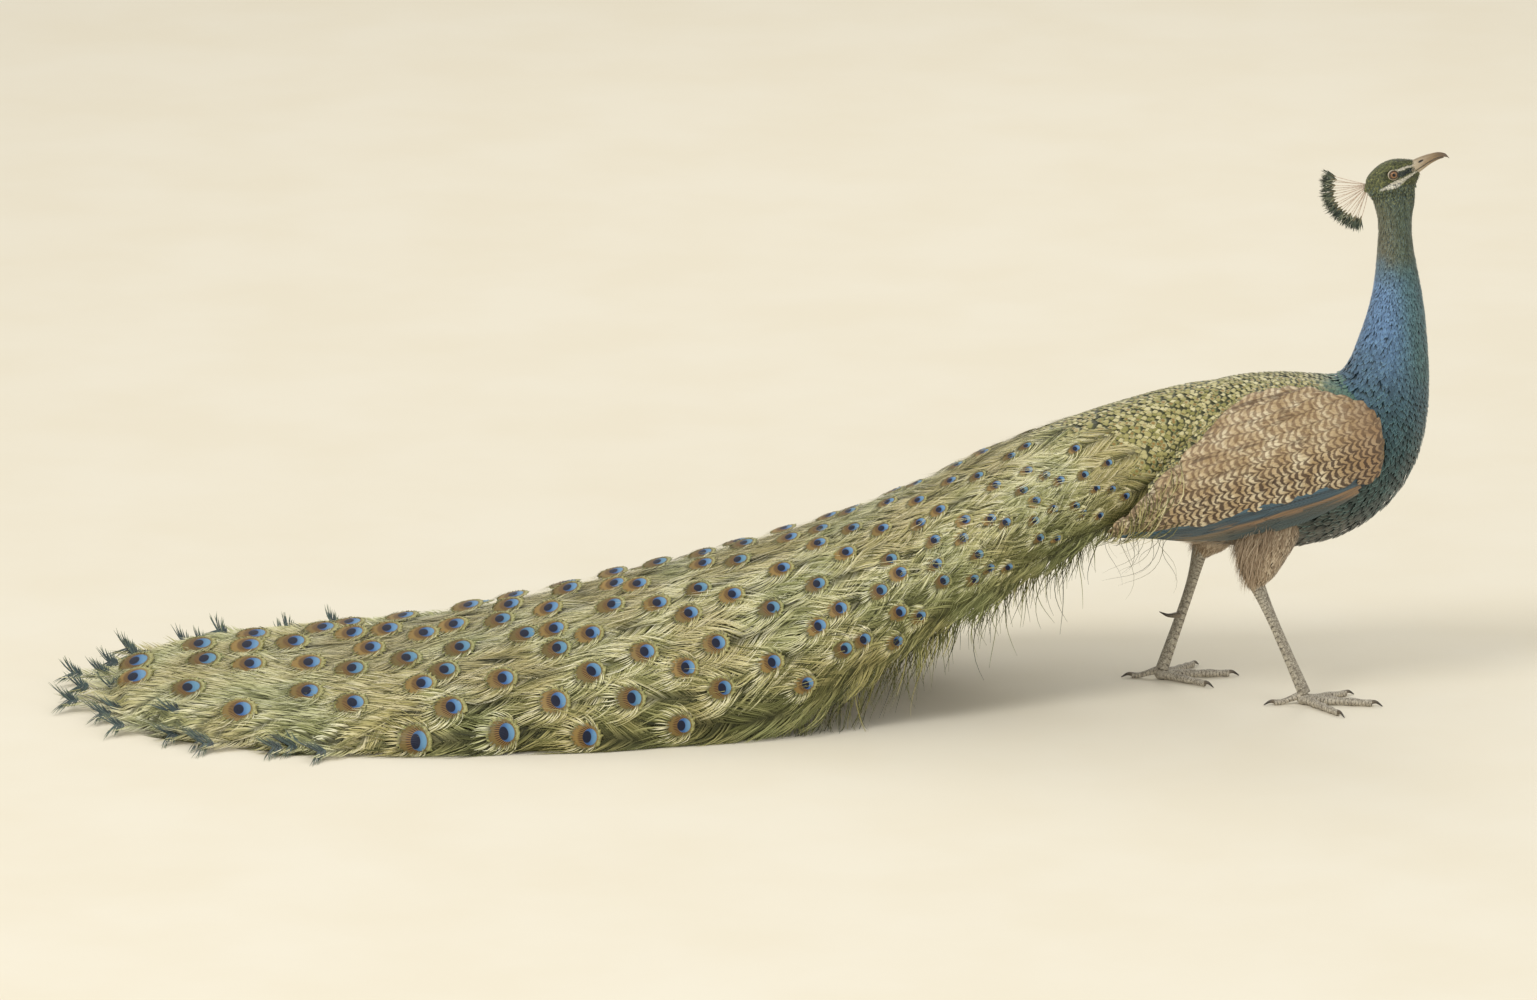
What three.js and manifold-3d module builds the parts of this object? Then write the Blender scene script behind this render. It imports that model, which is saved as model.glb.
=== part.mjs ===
// A life-size Indian peacock, standing mid-stride with its head up and its folded train trailing on the floor.
// Millimetres, +Z up. The bird faces +X, its left side is +Y, and the soles of its feet are at Z = 0.
import * as THREE from "three";
import { LoftGeometry } from "three/addons/geometries/LoftGeometry.js";
import { mergeVertices } from "three/addons/utils/BufferGeometryUtils.js";
import Module from "manifold-3d";

const wasm = await Module();
wasm.setup();

// ---------------------------------------------------------------- driving dimensions

const GAP = 0.35; // clearance between pieces that touch
const WELD = 0.01; // corners closer than this are one corner
const CORNER_ALLOWANCE = 1.4; // corners move further than faces, so that faces keep the whole clearance
const SIDES = { right: -1, left: 1 };

// Trunk and neck, rump first: back line x, z; belly or throat line x, z; half width.
const TRUNK = [
  [-226, 352, -212, 268, 30],
  [-160, 411, -158, 216, 74],
  [-94, 434, -87, 204, 93],
  [-33, 440, -20, 201, 100],
  [13, 438, 53, 216, 97],
  [40, 437, 114, 256, 87],
  [53, 444, 151, 309, 75],
  [63, 458, 168, 369, 62],
  [72, 480, 171, 434, 50],
  [86, 521, 166, 508, 39],
  [95, 563, 158, 563, 30],
  [99, 611, 148, 611, 24],
  [100, 648, 145, 648, 21],
  [92, 678, 149, 674, 18.5],
  [88, 702, 150, 694, 14],
];

// The head lies along a tilted axis: distance along it, rise above it, depth below it, half width.
const HEAD_AT = [118, 708];
const HEAD_TILT = 27; // degrees
const HEAD = [
  [-37, 7, 3, 6.5],
  [-31, 15, 13, 13.5],
  [-20, 21, 22, 18],
  [-8, 24.5, 26, 19.5],
  [4, 25, 27, 19],
  [14, 23, 26, 16.8],
  [24, 18.5, 23, 13.2],
  [32, 13.8, 17.5, 10],
  [38, 10, 10.5, 8],
];
const EYE = { along: 4, rise: 6.5, out: 12.3, radius: 7.2 };

// Each jaw: distance along the head's axis, mouth line, height away from it, half width.
const UPPER_BILL = [
  [28, -3.5, 13.5, 9.6],
  [38, -2.5, 12.2, 8.4],
  [50, -1, 9.8, 6.6],
  [62, -0.8, 7.4, 5],
  [71, -2.6, 6.4, 3.4],
  [78, -7, 5.2, 1.7],
  [80, -10.5, 2, 0.5],
];
const LOWER_BILL = [
  [28, -4.1, 6.5, 8.6],
  [40, -3, 5, 6.8],
  [54, -1.7, 3.6, 4.8],
  [66, -2.2, 2.6, 3],
  [74, -4.6, 1.2, 1.1],
];

const CREST = { feathers: 13, from: 166, to: 257, length: 70, shaft: 0.75, fan: [6.4, 14], root: [-34, 5] };

// Folded wing: x; middle height, half height and half width of the oval it wraps; top and bottom edges in
// degrees down from the top of that oval.
const WING = [
  [110, 352, 48, 90, 66, 100],
  [98, 348, 80, 99, 46, 112],
  [66, 338, 105, 110, 37, 114],
  [13, 328, 121, 116, 29, 119],
  [-40, 323, 125, 118, 27, 126],
  [-90, 315, 120, 117, 33, 131],
  [-147, 302, 101, 118, 54, 135],
  [-200, 287, 84, 119, 74, 126],
  [-242, 268, 62, 119, 90, 114],
  [-262, 258, 40, 118, 96, 106],
];
const WING_THICK = 9;
const FLIGHT_LINE = { front: [112, 338], rear: [-262, 227] }; // the flight feathers show below this line

// Train of long tail coverts, flat underneath: crest x, z; edge x, z; half width; drift to the left.
const TRAIN = [
  [-134, 428, -232, 262, 92, 0],
  [-200, 411, -290, 240, 105, 0],
  [-294, 380, -372, 200, 130, 0],
  [-401, 334, -468, 146, 157, 0],
  [-508, 281, -561, 90, 184, -3],
  [-615, 236, -655, 40, 209, -8],
  [-721, 202, -748, 8, 232, -14],
  [-828, 171, -848, 0, 252, -20],
  [-935, 141, -950, 0, 267, -26],
  [-1069, 104, -1080, 0, 276, -32],
  [-1202, 75, -1208, 0, 274, -36],
  [-1330, 60, -1330, 0, 260, -36],
  [-1440, 50, -1436, 0, 228, -34],
  [-1516, 40, -1510, 0, 182, -30],
  [-1566, 28, -1560, 0, 118, -26],
  [-1586, 15, -1582, 0, 50, -24],
];
const CLEARANCES = [0, 0.4, 0.8, 1.2]; // growths of one piece, all used to cut its neighbours
const TRAIN_EDGE = 6; // thickness of the train along its two sides
const TRAIN_CUTS = [-322, -640, -960, -1240];
const PLUMES = {
  count: 15,
  centre: [-1170, -32],
  reach: [374, 250],
  spread: 84,
  turnOut: 0.5,
  rise: [2, 9],
  length: 114,
  width: 30,
  thick: 6,
};

// The true tail is let into the train's underside; from and to are shares of the train's length.
const TAIL = { from: 0.02, to: 0.3, halfRoot: 34, halfTip: 104, thick: 9, roundTip: 26 };

// Legs: joints as x, y, z, with y for the right leg; the toes turn from straight ahead towards the bird's own outside.
const LEGS = {
  right: { hip: [-36, -54, 268], knee: [-50, -58, 222], hock: [-61, -60, 169], ankle: [6, -62, 19] },
  left: { hip: [-74, 52, 268], knee: [-104, 56, 226], hock: [-126, 59, 182], ankle: [-181, 62, 19] },
};
const THIGH_RADII = [48, 38, 24, 13.5];
const SHANK_RADII = [10.5, 8, 7, 7.2, 8.6];
const SPUR = { up: 0.44, length: 30, radius: 4.6, inward: { right: 68, left: 22 } };
const TOES = {
  middle: { turn: 8, length: 86, radius: 6.6, joints: 3 },
  inner: { turn: -34, length: 63, radius: 6, joints: 2 },
  outer: { turn: 54, length: 68, radius: 6, joints: 4 },
  hind: { turn: 172, length: 36, radius: 5.2, joints: 1 },
};
const CLAW = { length: 15, radius: 3.4 };

const COLOURS = {
  head: 0x3f5a3c,
  bill: 0xa08a72,
  eye: 0x5a3420,
  crest: 0x4d5f4c,
  neck: 0x3c5f8c,
  breast: 0x2c5560,
  back: 0x8a8f4a,
  coverts: 0xb08f66,
  flight: 0x3a5566,
  train: 0x8d9a55,
  tail: 0x6a5a44,
  thigh: 0x8f7a60,
  leg: 0x9c9686,
  claw: 0x5c544a,
};

// ---------------------------------------------------------------- helpers

const radians = THREE.MathUtils.degToRad;
const lerp = THREE.MathUtils.lerp;
const point = (x, y, z) => new THREE.Vector3(x, y, z);

// A closed geometry as a manifold-3d solid.
function solid(geometry) {
  const bare = geometry.index ? geometry.toNonIndexed() : geometry.clone();
  bare.deleteAttribute("normal");
  bare.deleteAttribute("uv");
  const merged = mergeVertices(bare, WELD);
  const corners = merged.index.array;
  const faces = [];
  for (let i = 0; i < corners.length; i += 3) {
    const [a, b, c] = [corners[i], corners[i + 1], corners[i + 2]];
    if (a !== b && b !== c && c !== a) faces.push(a, b, c);
  }
  return new wasm.Manifold(
    new wasm.Mesh({
      numProp: 3,
      vertProperties: merged.attributes.position.array,
      triVerts: new Uint32Array(faces),
    }),
  );
}

// A manifold-3d solid back as a geometry.
function geometryOf(body) {
  const { vertProperties, triVerts } = body.getMesh();
  const geometry = new THREE.BufferGeometry();
  geometry.setAttribute("position", new THREE.BufferAttribute(vertProperties, 3));
  geometry.setIndex(new THREE.BufferAttribute(triVerts, 1));
  geometry.computeVertexNormals();
  return geometry;
}

// A solid skinned over rows of points and capped at both ends; the rows may turn either way round.
function loft(sections) {
  const [first, next] = sections;
  const centre = (row) => row.reduce((sum, at) => sum.add(at), point(0, 0, 0)).divideScalar(row.length);
  const middle = centre(first);
  const facing = point(0, 0, 0);
  first.forEach((at, i) => {
    const after = first[(i + 1) % first.length];
    facing.add(at.clone().sub(middle).cross(after.clone().sub(middle)));
  });
  const backwards = facing.dot(centre(next).sub(middle)) < 0;
  const rows = backwards ? sections.map((row) => [...row].reverse()) : sections;
  return solid(new LoftGeometry(rows, { capStart: true, capEnd: true }));
}

// Smooth values through a table whose rows hold the same kinds of number.
function smoothTable(rows) {
  const columns = rows[0].map(
    (_, i) => new THREE.CatmullRomCurve3(rows.map((row) => point(row[i], 0, 0)), false, "catmullrom", 0.5),
  );
  return (t) => columns.map((column) => column.getPoint(t).x);
}

// Sections along a table: place(values, angle) gives the point of a section at that angle.
function tableLoft(rows, along, around, place) {
  const at = smoothTable(rows);
  const sections = [];
  for (let i = 0; i <= along; i++) {
    const values = at(i / along);
    const angles = Array.from({ length: around }, (_, j) => (j / around) * Math.PI * 2);
    sections.push(angles.map((angle) => place(values, angle)));
  }
  return loft(sections);
}

// A round or oval tube whose middle and radii are functions of 0 to 1, flattened sideways by wide.
function tube(path, radius, along, around, wide = 1) {
  const sections = [];
  for (let i = 0; i <= along; i++) {
    const t = i / along;
    const middle = path.getPoint(t);
    const forward = path.getTangent(t);
    const side = point(-forward.y, forward.x, 0);
    if (side.length() < 0.05) side.set(0, 1, 0);
    side.normalize();
    const up = new THREE.Vector3().crossVectors(side, forward).normalize();
    const section = [];
    for (let j = 0; j < around; j++) {
      const angle = (j / around) * Math.PI * 2;
      section.push(
        middle
          .clone()
          .addScaledVector(side, Math.cos(angle) * radius(t) * wide)
          .addScaledVector(up, Math.sin(angle) * radius(t)),
      );
    }
    sections.push(section);
  }
  return loft(sections);
}

const route = (...points) => new THREE.CatmullRomCurve3(points, false, "catmullrom", 0.5);
const together = (pieces) => pieces.reduce((all, piece) => all.add(piece));
const without = (body, ...others) => others.reduce((left, other) => left.subtract(other), body);
const largest = (body) => body.decompose().reduce((a, b) => (b.volume() > a.volume() ? b : a));

// A body a clearance larger all round: every corner moves out along the average of the faces that meet there.
function grown(body, by = GAP) {
  const geometry = geometryOf(body);
  const { position } = geometry.attributes;
  const corners = Array.from({ length: position.count }, (_, i) => point(0, 0, 0).fromBufferAttribute(position, i));
  const outward = corners.map(() => point(0, 0, 0));
  const order = geometry.index.array;
  for (let i = 0; i < order.length; i += 3) {
    const face = [order[i], order[i + 1], order[i + 2]];
    const normal = new THREE.Triangle(...face.map((corner) => corners[corner])).getNormal(point(0, 0, 0));
    face.forEach((corner, j) => {
      const one = corners[face[(j + 1) % 3]].clone().sub(corners[corner]);
      const other = corners[face[(j + 2) % 3]].clone().sub(corners[corner]);
      outward[corner].addScaledVector(normal, one.angleTo(other));
    });
  }
  corners.forEach((corner, i) => {
    position.setXYZ(i, ...corner.addScaledVector(outward[i].normalize(), by * CORNER_ALLOWANCE));
  });
  return solid(geometry);
}

// The half of space on the side of a point that the direction (x, z) faces, as a big box.
function halfSpace(x, z, towards) {
  const size = 5000;
  const box = new THREE.BoxGeometry(size, size, size);
  const [dx, dz] = towards;
  const length = Math.hypot(dx, dz);
  box.translate(size / 2, 0, 0);
  box.rotateY(-Math.atan2(dz, dx));
  box.translate(x + (dx / length) * (GAP / 2), 0, z + (dz / length) * (GAP / 2));
  return solid(box);
}

// A body parted by a plane through (x, z): the part that the direction faces, and the rest.
function part(body, x, z, towards) {
  const [dx, dz] = towards;
  return [body.intersect(halfSpace(x, z, [dx, dz])), body.intersect(halfSpace(x, z, [-dx, -dz]))];
}

// ---------------------------------------------------------------- trunk, neck and head

function trunkAndNeck() {
  return tableLoft(TRUNK, 24, 16, ([topX, topZ, lowX, lowZ, half], angle) => {
    const share = (1 + Math.cos(angle)) / 2;
    return point(lerp(lowX, topX, share), half * Math.sin(angle), lerp(lowZ, topZ, share));
  });
}

// A point of the head's own frame: along the axis, out to the left, and up from it.
function headPoint(along, out, up) {
  const tilt = radians(HEAD_TILT);
  return point(
    HEAD_AT[0] + along * Math.cos(tilt) - up * Math.sin(tilt),
    out,
    HEAD_AT[1] + along * Math.sin(tilt) + up * Math.cos(tilt),
  );
}

function skull() {
  return tableLoft(HEAD, 11, 14, ([along, rise, depth, half], angle) => {
    const height = Math.cos(angle) > 0 ? rise : depth;
    return headPoint(along, half * Math.sin(angle), height * Math.cos(angle));
  });
}

// One jaw: flat along the mouth line and arched away from it, up or down.
function jaw(rows, away) {
  const at = smoothTable(rows);
  const arch = 6;
  const along = 8;
  const sections = [];
  for (let i = 0; i <= along; i++) {
    const [out, mouth, height, half] = at(i / along);
    const section = [];
    for (let j = 0; j <= arch; j++) {
      const angle = (j / arch) * Math.PI;
      const up = mouth + away * (GAP / 2 + height * Math.sin(angle));
      section.push(headPoint(out, half * Math.cos(angle), up));
    }
    sections.push(section);
  }
  return loft(sections);
}

function eyeball(side) {
  const ball = new THREE.SphereGeometry(EYE.radius, 12, 7);
  const at = headPoint(EYE.along, side * EYE.out, EYE.rise);
  return solid(ball.translate(at.x, at.y, at.z));
}

// A fan of bare shafts, each with a small vane at its tip, all rooted in one knob at the back of the crown.
function crest() {
  const [along, rise] = CREST.root;
  const root = headPoint(along, 0, rise);
  const knob = new THREE.SphereGeometry(5.5, 8, 5).translate(root.x, root.y, root.z);
  const pieces = [solid(knob)];
  for (let i = 0; i < CREST.feathers; i++) {
    const share = i / (CREST.feathers - 1);
    const turn = radians(lerp(CREST.from, CREST.to, share));
    const length = CREST.length - 4 * Math.abs(2 * share - 1) - 3 * (i % 2);
    const lean = (i % 2 === 0 ? 1 : -1) * radians(2.5);
    const [wide, long] = CREST.fan;
    const shaft = new THREE.CylinderGeometry(CREST.shaft, CREST.shaft, length - 8, 4).translate(0, length / 2, 0);
    const fan = new THREE.ConeGeometry(wide, long, 4).rotateX(Math.PI).scale(1, 1, 0.22);
    fan.translate(0, length - long / 2, 0);
    for (const piece of [shaft, fan]) {
      piece.rotateX(Math.PI / 2 + lean);
      piece.rotateY(Math.PI / 2 - turn);
      piece.translate(root.x, root.y, root.z);
      pieces.push(solid(piece));
    }
  }
  return together(pieces);
}

// ---------------------------------------------------------------- wings, train and tail

// A folded wing: a shell wrapped round an oval, outer face from the top edge down, then the inner face back up.
function wing(side) {
  const at = smoothTable(WING);
  const along = 10;
  const steps = 7;
  const sections = [];
  for (let i = 0; i <= along; i++) {
    const [x, middle, high, half, top, low] = at(i / along);
    const section = [];
    for (const inset of [0, WING_THICK]) {
      for (let j = 0; j <= steps; j++) {
        const angle = radians(lerp(top, low, (inset ? steps - j : j) / steps));
        section.push(point(x, side * (half - inset) * Math.sin(angle), middle + (high - inset) * Math.cos(angle)));
      }
    }
    sections.push(section);
  }
  return loft(sections);
}

// Half an arch over the train: outer surface from side to side, then the under surface back again.
function trainForm() {
  const at = smoothTable(TRAIN);
  const along = 19;
  const steps = 10;
  const sections = [];
  for (let i = 0; i <= along; i++) {
    const [topX, topZ, edgeX, edgeZ, half, drift] = at(i / along);
    const under = Math.max(edgeZ, 0);
    const section = [];
    for (let j = 0; j <= steps; j++) {
      const angle = radians(lerp(-90, 90, j / steps));
      const across = drift + half * Math.sin(angle);
      const crown = Math.cos(angle);
      section.push(point(lerp(edgeX, topX, crown), across, lerp(under + TRAIN_EDGE, topZ, crown)));
    }
    for (let j = steps; j >= 0; j -= 2) {
      const angle = radians(lerp(-90, 90, j / steps));
      section.push(point(edgeX, drift + half * Math.sin(angle), under));
    }
    sections.push(section);
  }
  return loft(sections);
}

function plumeTips() {
  const { count, centre, reach, spread, turnOut, rise, length, width, thick } = PLUMES;
  const leaf = new THREE.Shape();
  leaf.moveTo(-60, -width * 0.35);
  leaf.lineTo(length * 0.5, -width / 2);
  leaf.lineTo(length, -width * 0.62);
  leaf.lineTo(length * 0.86, 0);
  leaf.lineTo(length, width * 0.62);
  leaf.lineTo(length * 0.5, width / 2);
  leaf.lineTo(-60, width * 0.35);
  const pieces = [];
  for (let i = 0; i < count; i++) {
    const turn = radians(lerp(-spread, spread, i / (count - 1)));
    const shorter = 1 - 0.18 * (i % 2);
    const blade = new THREE.ExtrudeGeometry(leaf, { depth: thick, bevelEnabled: false });
    blade.scale(shorter, 1, 1);
    blade.rotateY(-radians(lerp(...rise, (1 + Math.sin(turn)) / 2)));
    blade.rotateZ(Math.PI - Math.sin(turn) * turnOut);
    blade.translate(centre[0] - reach[0] * Math.cos(turn), centre[1] + reach[1] * Math.sin(turn), 0);
    pieces.push(solid(blade));
  }
  return together(pieces);
}

// The true tail: a shallow fan of stiff feathers under the root of the train.
function tailFan() {
  const at = smoothTable(TRAIN);
  const sections = [];
  const along = 6;
  const steps = 5;
  for (let i = 0; i <= along; i++) {
    const t = i / along;
    const [, , edgeX, edgeZ] = at(lerp(TAIL.from, TAIL.to, t));
    const half = lerp(TAIL.halfRoot, TAIL.halfTip, Math.sqrt(t)) * (i === along ? 0.82 : 1);
    const section = [];
    for (const face of [0, TAIL.thick]) {
      for (let j = 0; j <= steps; j++) {
        const across = lerp(-1, 1, (face ? steps - j : j) / steps);
        const back = i === along ? TAIL.roundTip * across ** 2 : 0;
        section.push(point(edgeX + back, half * across, edgeZ + face + back * 0.6));
      }
    }
    sections.push(section);
  }
  return loft(sections);
}

const joint = ([x, y, z]) => point(x, y, z);

function thigh({ hip, knee, hock }) {
  const at = smoothTable(THIGH_RADII.map((radius) => [radius]));
  const low = joint(hock).lerp(joint(knee), 0.3);
  return tube(route(joint(hip), joint(knee), low, joint(hock)), (t) => at(t)[0], 6, 11, 0.8);
}

function shank({ hock, ankle }) {
  const at = smoothTable(SHANK_RADII.map((radius) => [radius]));
  const heel = joint(hock).add(point(-3, 0, 5));
  const path = route(heel, joint(hock).lerp(joint(ankle), 0.35), joint(ankle).add(point(0, 0, -4)));
  const bone = tube(path, (t) => at(t)[0], 7, 10, 0.84);
  const pad = new THREE.SphereGeometry(10.5, 10, 6).scale(1, 0.95, 0.78);
  pad.translate(ankle[0], ankle[1], 7.4);
  return bone.add(solid(pad));
}

// Where a toe or claw points: the turn is towards the outside of the foot.
function heading(side, turn) {
  const angle = radians(side * turn);
  return point(Math.cos(angle), Math.sin(angle), 0);
}

// Toes swell at their joints and pads; the sole is cut flat at the floor.
function toe(side, { ankle }, { turn, length, radius, joints }) {
  const forward = heading(side, turn);
  const start = point(ankle[0], ankle[1], 0).addScaledVector(forward, 5);
  const hind = joints === 1;
  const [rise, middle] = hind ? [13, 8.5] : [radius * 1.15, radius * 0.98];
  const low = radius * 0.72;
  const path = route(
    start.clone().setZ(rise),
    start.clone().addScaledVector(forward, length * 0.35).setZ(middle),
    start.clone().addScaledVector(forward, length * 0.7).setZ(radius * 0.86),
    start.clone().addScaledVector(forward, length).setZ(low),
  );
  const swell = (t) => radius * (1 - 0.3 * t) * (0.94 + 0.09 * Math.cos(t * joints * Math.PI * 2));
  return tube(path, swell, hind ? 3 : 6, 7, 0.95);
}

function claw(side, { ankle }, { turn, length, radius }) {
  const forward = heading(side, turn);
  const root = point(ankle[0], ankle[1], 0).addScaledVector(forward, 5 + length - 4);
  const path = route(
    root.clone().setZ(radius * 0.85),
    root.clone().addScaledVector(forward, CLAW.length * 0.6).setZ(radius * 0.85 + 0.6),
    root.clone().addScaledVector(forward, CLAW.length + 3).setZ(0.8),
  );
  return tube(path, (t) => lerp(CLAW.radius, 0.55, t ** 1.3), 3, 6, 0.7);
}

// The spur grows from the inner back edge of the shank, low down, and curves up a little.
function spur(side, { hock, ankle }) {
  const root = joint(ankle).lerp(joint(hock), SPUR.up).add(point(-1, -side * 2, 0));
  const inward = radians(SPUR.inward[side < 0 ? "right" : "left"]);
  const away = point(-Math.cos(inward), -side * Math.sin(inward), 0);
  const path = route(
    root,
    root.clone().addScaledVector(away, SPUR.length * 0.55).add(point(0, 0, 0.5)),
    root.clone().addScaledVector(away, SPUR.length).add(point(0, 0, 7)),
  );
  return tube(path, (t) => lerp(SPUR.radius, 0.5, t), 4, 7);
}

// ---------------------------------------------------------------- the bird

const bird = new THREE.Group();

function add(name, body, colour, roughness = 0.75, metalness = 0) {
  const material = new THREE.MeshStandardMaterial({ color: COLOURS[colour], roughness, metalness });
  const welded = solid(geometryOf(largest(body)));
  const mesh = new THREE.Mesh(geometryOf(largest(welded)), material);
  mesh.name = name;
  bird.add(mesh);
}

const floor = solid(new THREE.BoxGeometry(5000, 3000, 500).translate(0, 0, -250));
const trunkGrown = grown(trunkAndNeck());
const skullGrown = grown(skull());
const trainGrown = together(CLEARANCES.map((by) => grown(trainForm(), by)));
const tailGrown = together(CLEARANCES.map((by) => grown(tailFan(), by)));

// Flesh, modelled whole up to the train, and parted by thin cuts across the neck and breast.
const eyeHoles = Object.values(SIDES).map((side) => grown(eyeball(side)));
const flesh = without(trunkAndNeck().add(skull()), ...eyeHoles, trainGrown);
const [head, belowHead] = part(flesh, 122, 676, [0.2, 1]);
const [neckUpper, belowUpper] = part(belowHead, 128, 572, [0, 1]);
const [neckLower, body] = part(belowUpper, 62, 455, [0.3, 1]);
const [breast, trunk] = part(body, 55, 330, [1, 0.12]);
add("head", head, "head");
add("neck_upper", neckUpper, "neck", 0.45, 0.2);
add("neck_lower", neckLower, "neck", 0.45, 0.2);
add("breast", breast, "breast", 0.5, 0.2);
add("trunk", trunk, "back", 0.6, 0.1);

const jaws = [jaw(UPPER_BILL, 1), jaw(LOWER_BILL, -1)];
add("bill_upper", without(jaws[0], skullGrown), "bill", 0.45);
add("bill_lower", without(jaws[1], skullGrown, grown(jaws[0])), "bill", 0.45);
add("crest", without(crest(), skullGrown), "crest", 0.7);

// Each folded wing is a thin shell against the trunk, parted along the lower edge of its coverts.
const thighsGrown = Object.values(LEGS).map((leg) => grown(thigh(leg)));
const { front, rear } = FLIGHT_LINE;
const slope = [rear[1] - front[1], front[0] - rear[0]];
for (const [name, side] of Object.entries(SIDES)) {
  const shell = without(wing(side), trunkGrown, trainGrown, ...thighsGrown);
  const [coverts, flight] = part(shell, front[0], front[1], slope);
  add("wing_" + name + "_coverts", coverts, "coverts", 0.8);
  add("wing_" + name + "_flight", flight, "flight", 0.6);
  add("eye_" + name, eyeball(side), "eye", 0.1);
}

// The train, in lengths from the rump to the tips, with the true tail let into it from below.
let rest = without(trainForm().add(plumeTips()), tailGrown, floor);
TRAIN_CUTS.forEach((x, i) => {
  const [nearer, further] = part(rest, x, 0, [1, 0]);
  add("train_" + (i + 1), nearer, "train");
  rest = further;
});
add("train_" + (TRAIN_CUTS.length + 1), rest, "train");
add("tail", without(tailFan(), trunkGrown), "tail");

for (const [name, side] of Object.entries(SIDES)) {
  const leg = LEGS[name];
  const shankGrown = grown(shank(leg));
  add("thigh_" + name, without(thigh(leg), trunkGrown, shankGrown), "thigh", 0.9);
  add("shank_" + name, without(shank(leg), floor), "leg", 0.6);
  add("spur_" + name, without(spur(side, leg), shankGrown), "claw", 0.5);
  const laid = [shankGrown, floor];
  for (const [which, kind] of Object.entries(TOES)) {
    add("toe_" + name + "_" + which, without(toe(side, leg, kind), ...laid), "leg", 0.6);
    laid.push(grown(toe(side, leg, kind)));
    const clawBody = without(claw(side, leg, kind), grown(toe(side, leg, kind)), floor);
    add("claw_" + name + "_" + which, clawBody, "claw", 0.5);
  }
}

// The origin is on the floor, under the middle of the bird's box.
const box = new THREE.Box3().setFromObject(bird);
const middle = box.getCenter(new THREE.Vector3());
bird.position.set(-middle.x, -middle.y, -box.min.z);

export default bird;
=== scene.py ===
# %% [markdown]
# # A life-size peacock
# The bird's solid parts come from a imported model, which is our frame. Everything here is modelled in metres
# in that same frame: X is the way the bird faces, Y is its left, Z is up, and the floor is at Z = 0. We
# start by loading the frame. The finished bird must fill the same box.

# %% Load the frame
import math

import bmesh
import bpy
import numpy as np
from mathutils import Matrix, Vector
from mathutils.bvhtree import BVHTree


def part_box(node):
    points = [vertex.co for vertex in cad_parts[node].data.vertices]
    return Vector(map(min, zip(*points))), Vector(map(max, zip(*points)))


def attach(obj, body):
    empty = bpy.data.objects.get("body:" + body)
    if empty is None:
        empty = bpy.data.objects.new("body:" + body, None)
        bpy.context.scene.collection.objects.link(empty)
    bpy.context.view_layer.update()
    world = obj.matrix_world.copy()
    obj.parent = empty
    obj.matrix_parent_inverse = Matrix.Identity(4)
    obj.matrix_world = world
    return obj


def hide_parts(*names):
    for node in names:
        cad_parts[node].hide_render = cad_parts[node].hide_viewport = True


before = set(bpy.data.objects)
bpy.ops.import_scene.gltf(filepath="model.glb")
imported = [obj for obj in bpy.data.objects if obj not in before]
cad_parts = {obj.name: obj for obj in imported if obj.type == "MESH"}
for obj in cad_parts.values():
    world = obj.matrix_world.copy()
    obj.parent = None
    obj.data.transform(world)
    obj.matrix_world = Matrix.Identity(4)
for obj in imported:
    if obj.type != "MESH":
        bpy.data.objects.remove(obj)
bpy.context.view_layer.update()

# %% [markdown]
# ## The bird's own measures
# A museum modeller keeps a table of sections for each part of a bird: how high, how deep and how wide it is
# at a few places. A smooth curve through such a table gives every section between. The tables are in
# millimetres from the bird's own datum, so we find the datum in the frame once, from the right eye, and
# shift everything by it.

# %% Tables of sections
TRUNK = [
    (-226, 352, -212, 268, 30),
    (-160, 411, -158, 216, 74),
    (-94, 434, -87, 204, 93),
    (-33, 440, -20, 201, 100),
    (13, 438, 53, 216, 97),
    (40, 437, 114, 256, 87),
    (53, 444, 151, 309, 75),
    (63, 458, 168, 369, 62),
    (72, 480, 171, 434, 50),
    (86, 521, 166, 508, 39),
    (95, 563, 158, 563, 30),
    (99, 611, 148, 611, 24),
    (100, 648, 145, 648, 21),
    (92, 678, 149, 674, 18.5),
    (88, 702, 150, 694, 14),
]  # back line x, z; belly or throat line x, z; half width
HEAD = [
    (-37, 7, 3, 6.5),
    (-31, 15, 13, 13.5),
    (-20, 21, 22, 18),
    (-8, 24.5, 26, 19.5),
    (4, 25, 27, 19),
    (14, 23, 26, 16.8),
    (24, 18.5, 23, 13.2),
    (32, 13.8, 17.5, 10),
    (38, 10, 10.5, 8),
]  # distance along the head, rise, depth, half width
WING = [
    (110, 352, 48, 90, 66, 100),
    (98, 348, 80, 99, 46, 112),
    (66, 338, 105, 110, 37, 114),
    (13, 328, 121, 116, 29, 119),
    (-40, 323, 125, 118, 27, 126),
    (-90, 315, 120, 117, 33, 131),
    (-147, 302, 101, 118, 54, 135),
    (-200, 287, 84, 119, 74, 126),
    (-242, 268, 62, 119, 90, 114),
    (-262, 258, 40, 118, 96, 106),
]  # x; middle height, half height, half width of the oval under the wing; top and bottom edge in degrees
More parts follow.
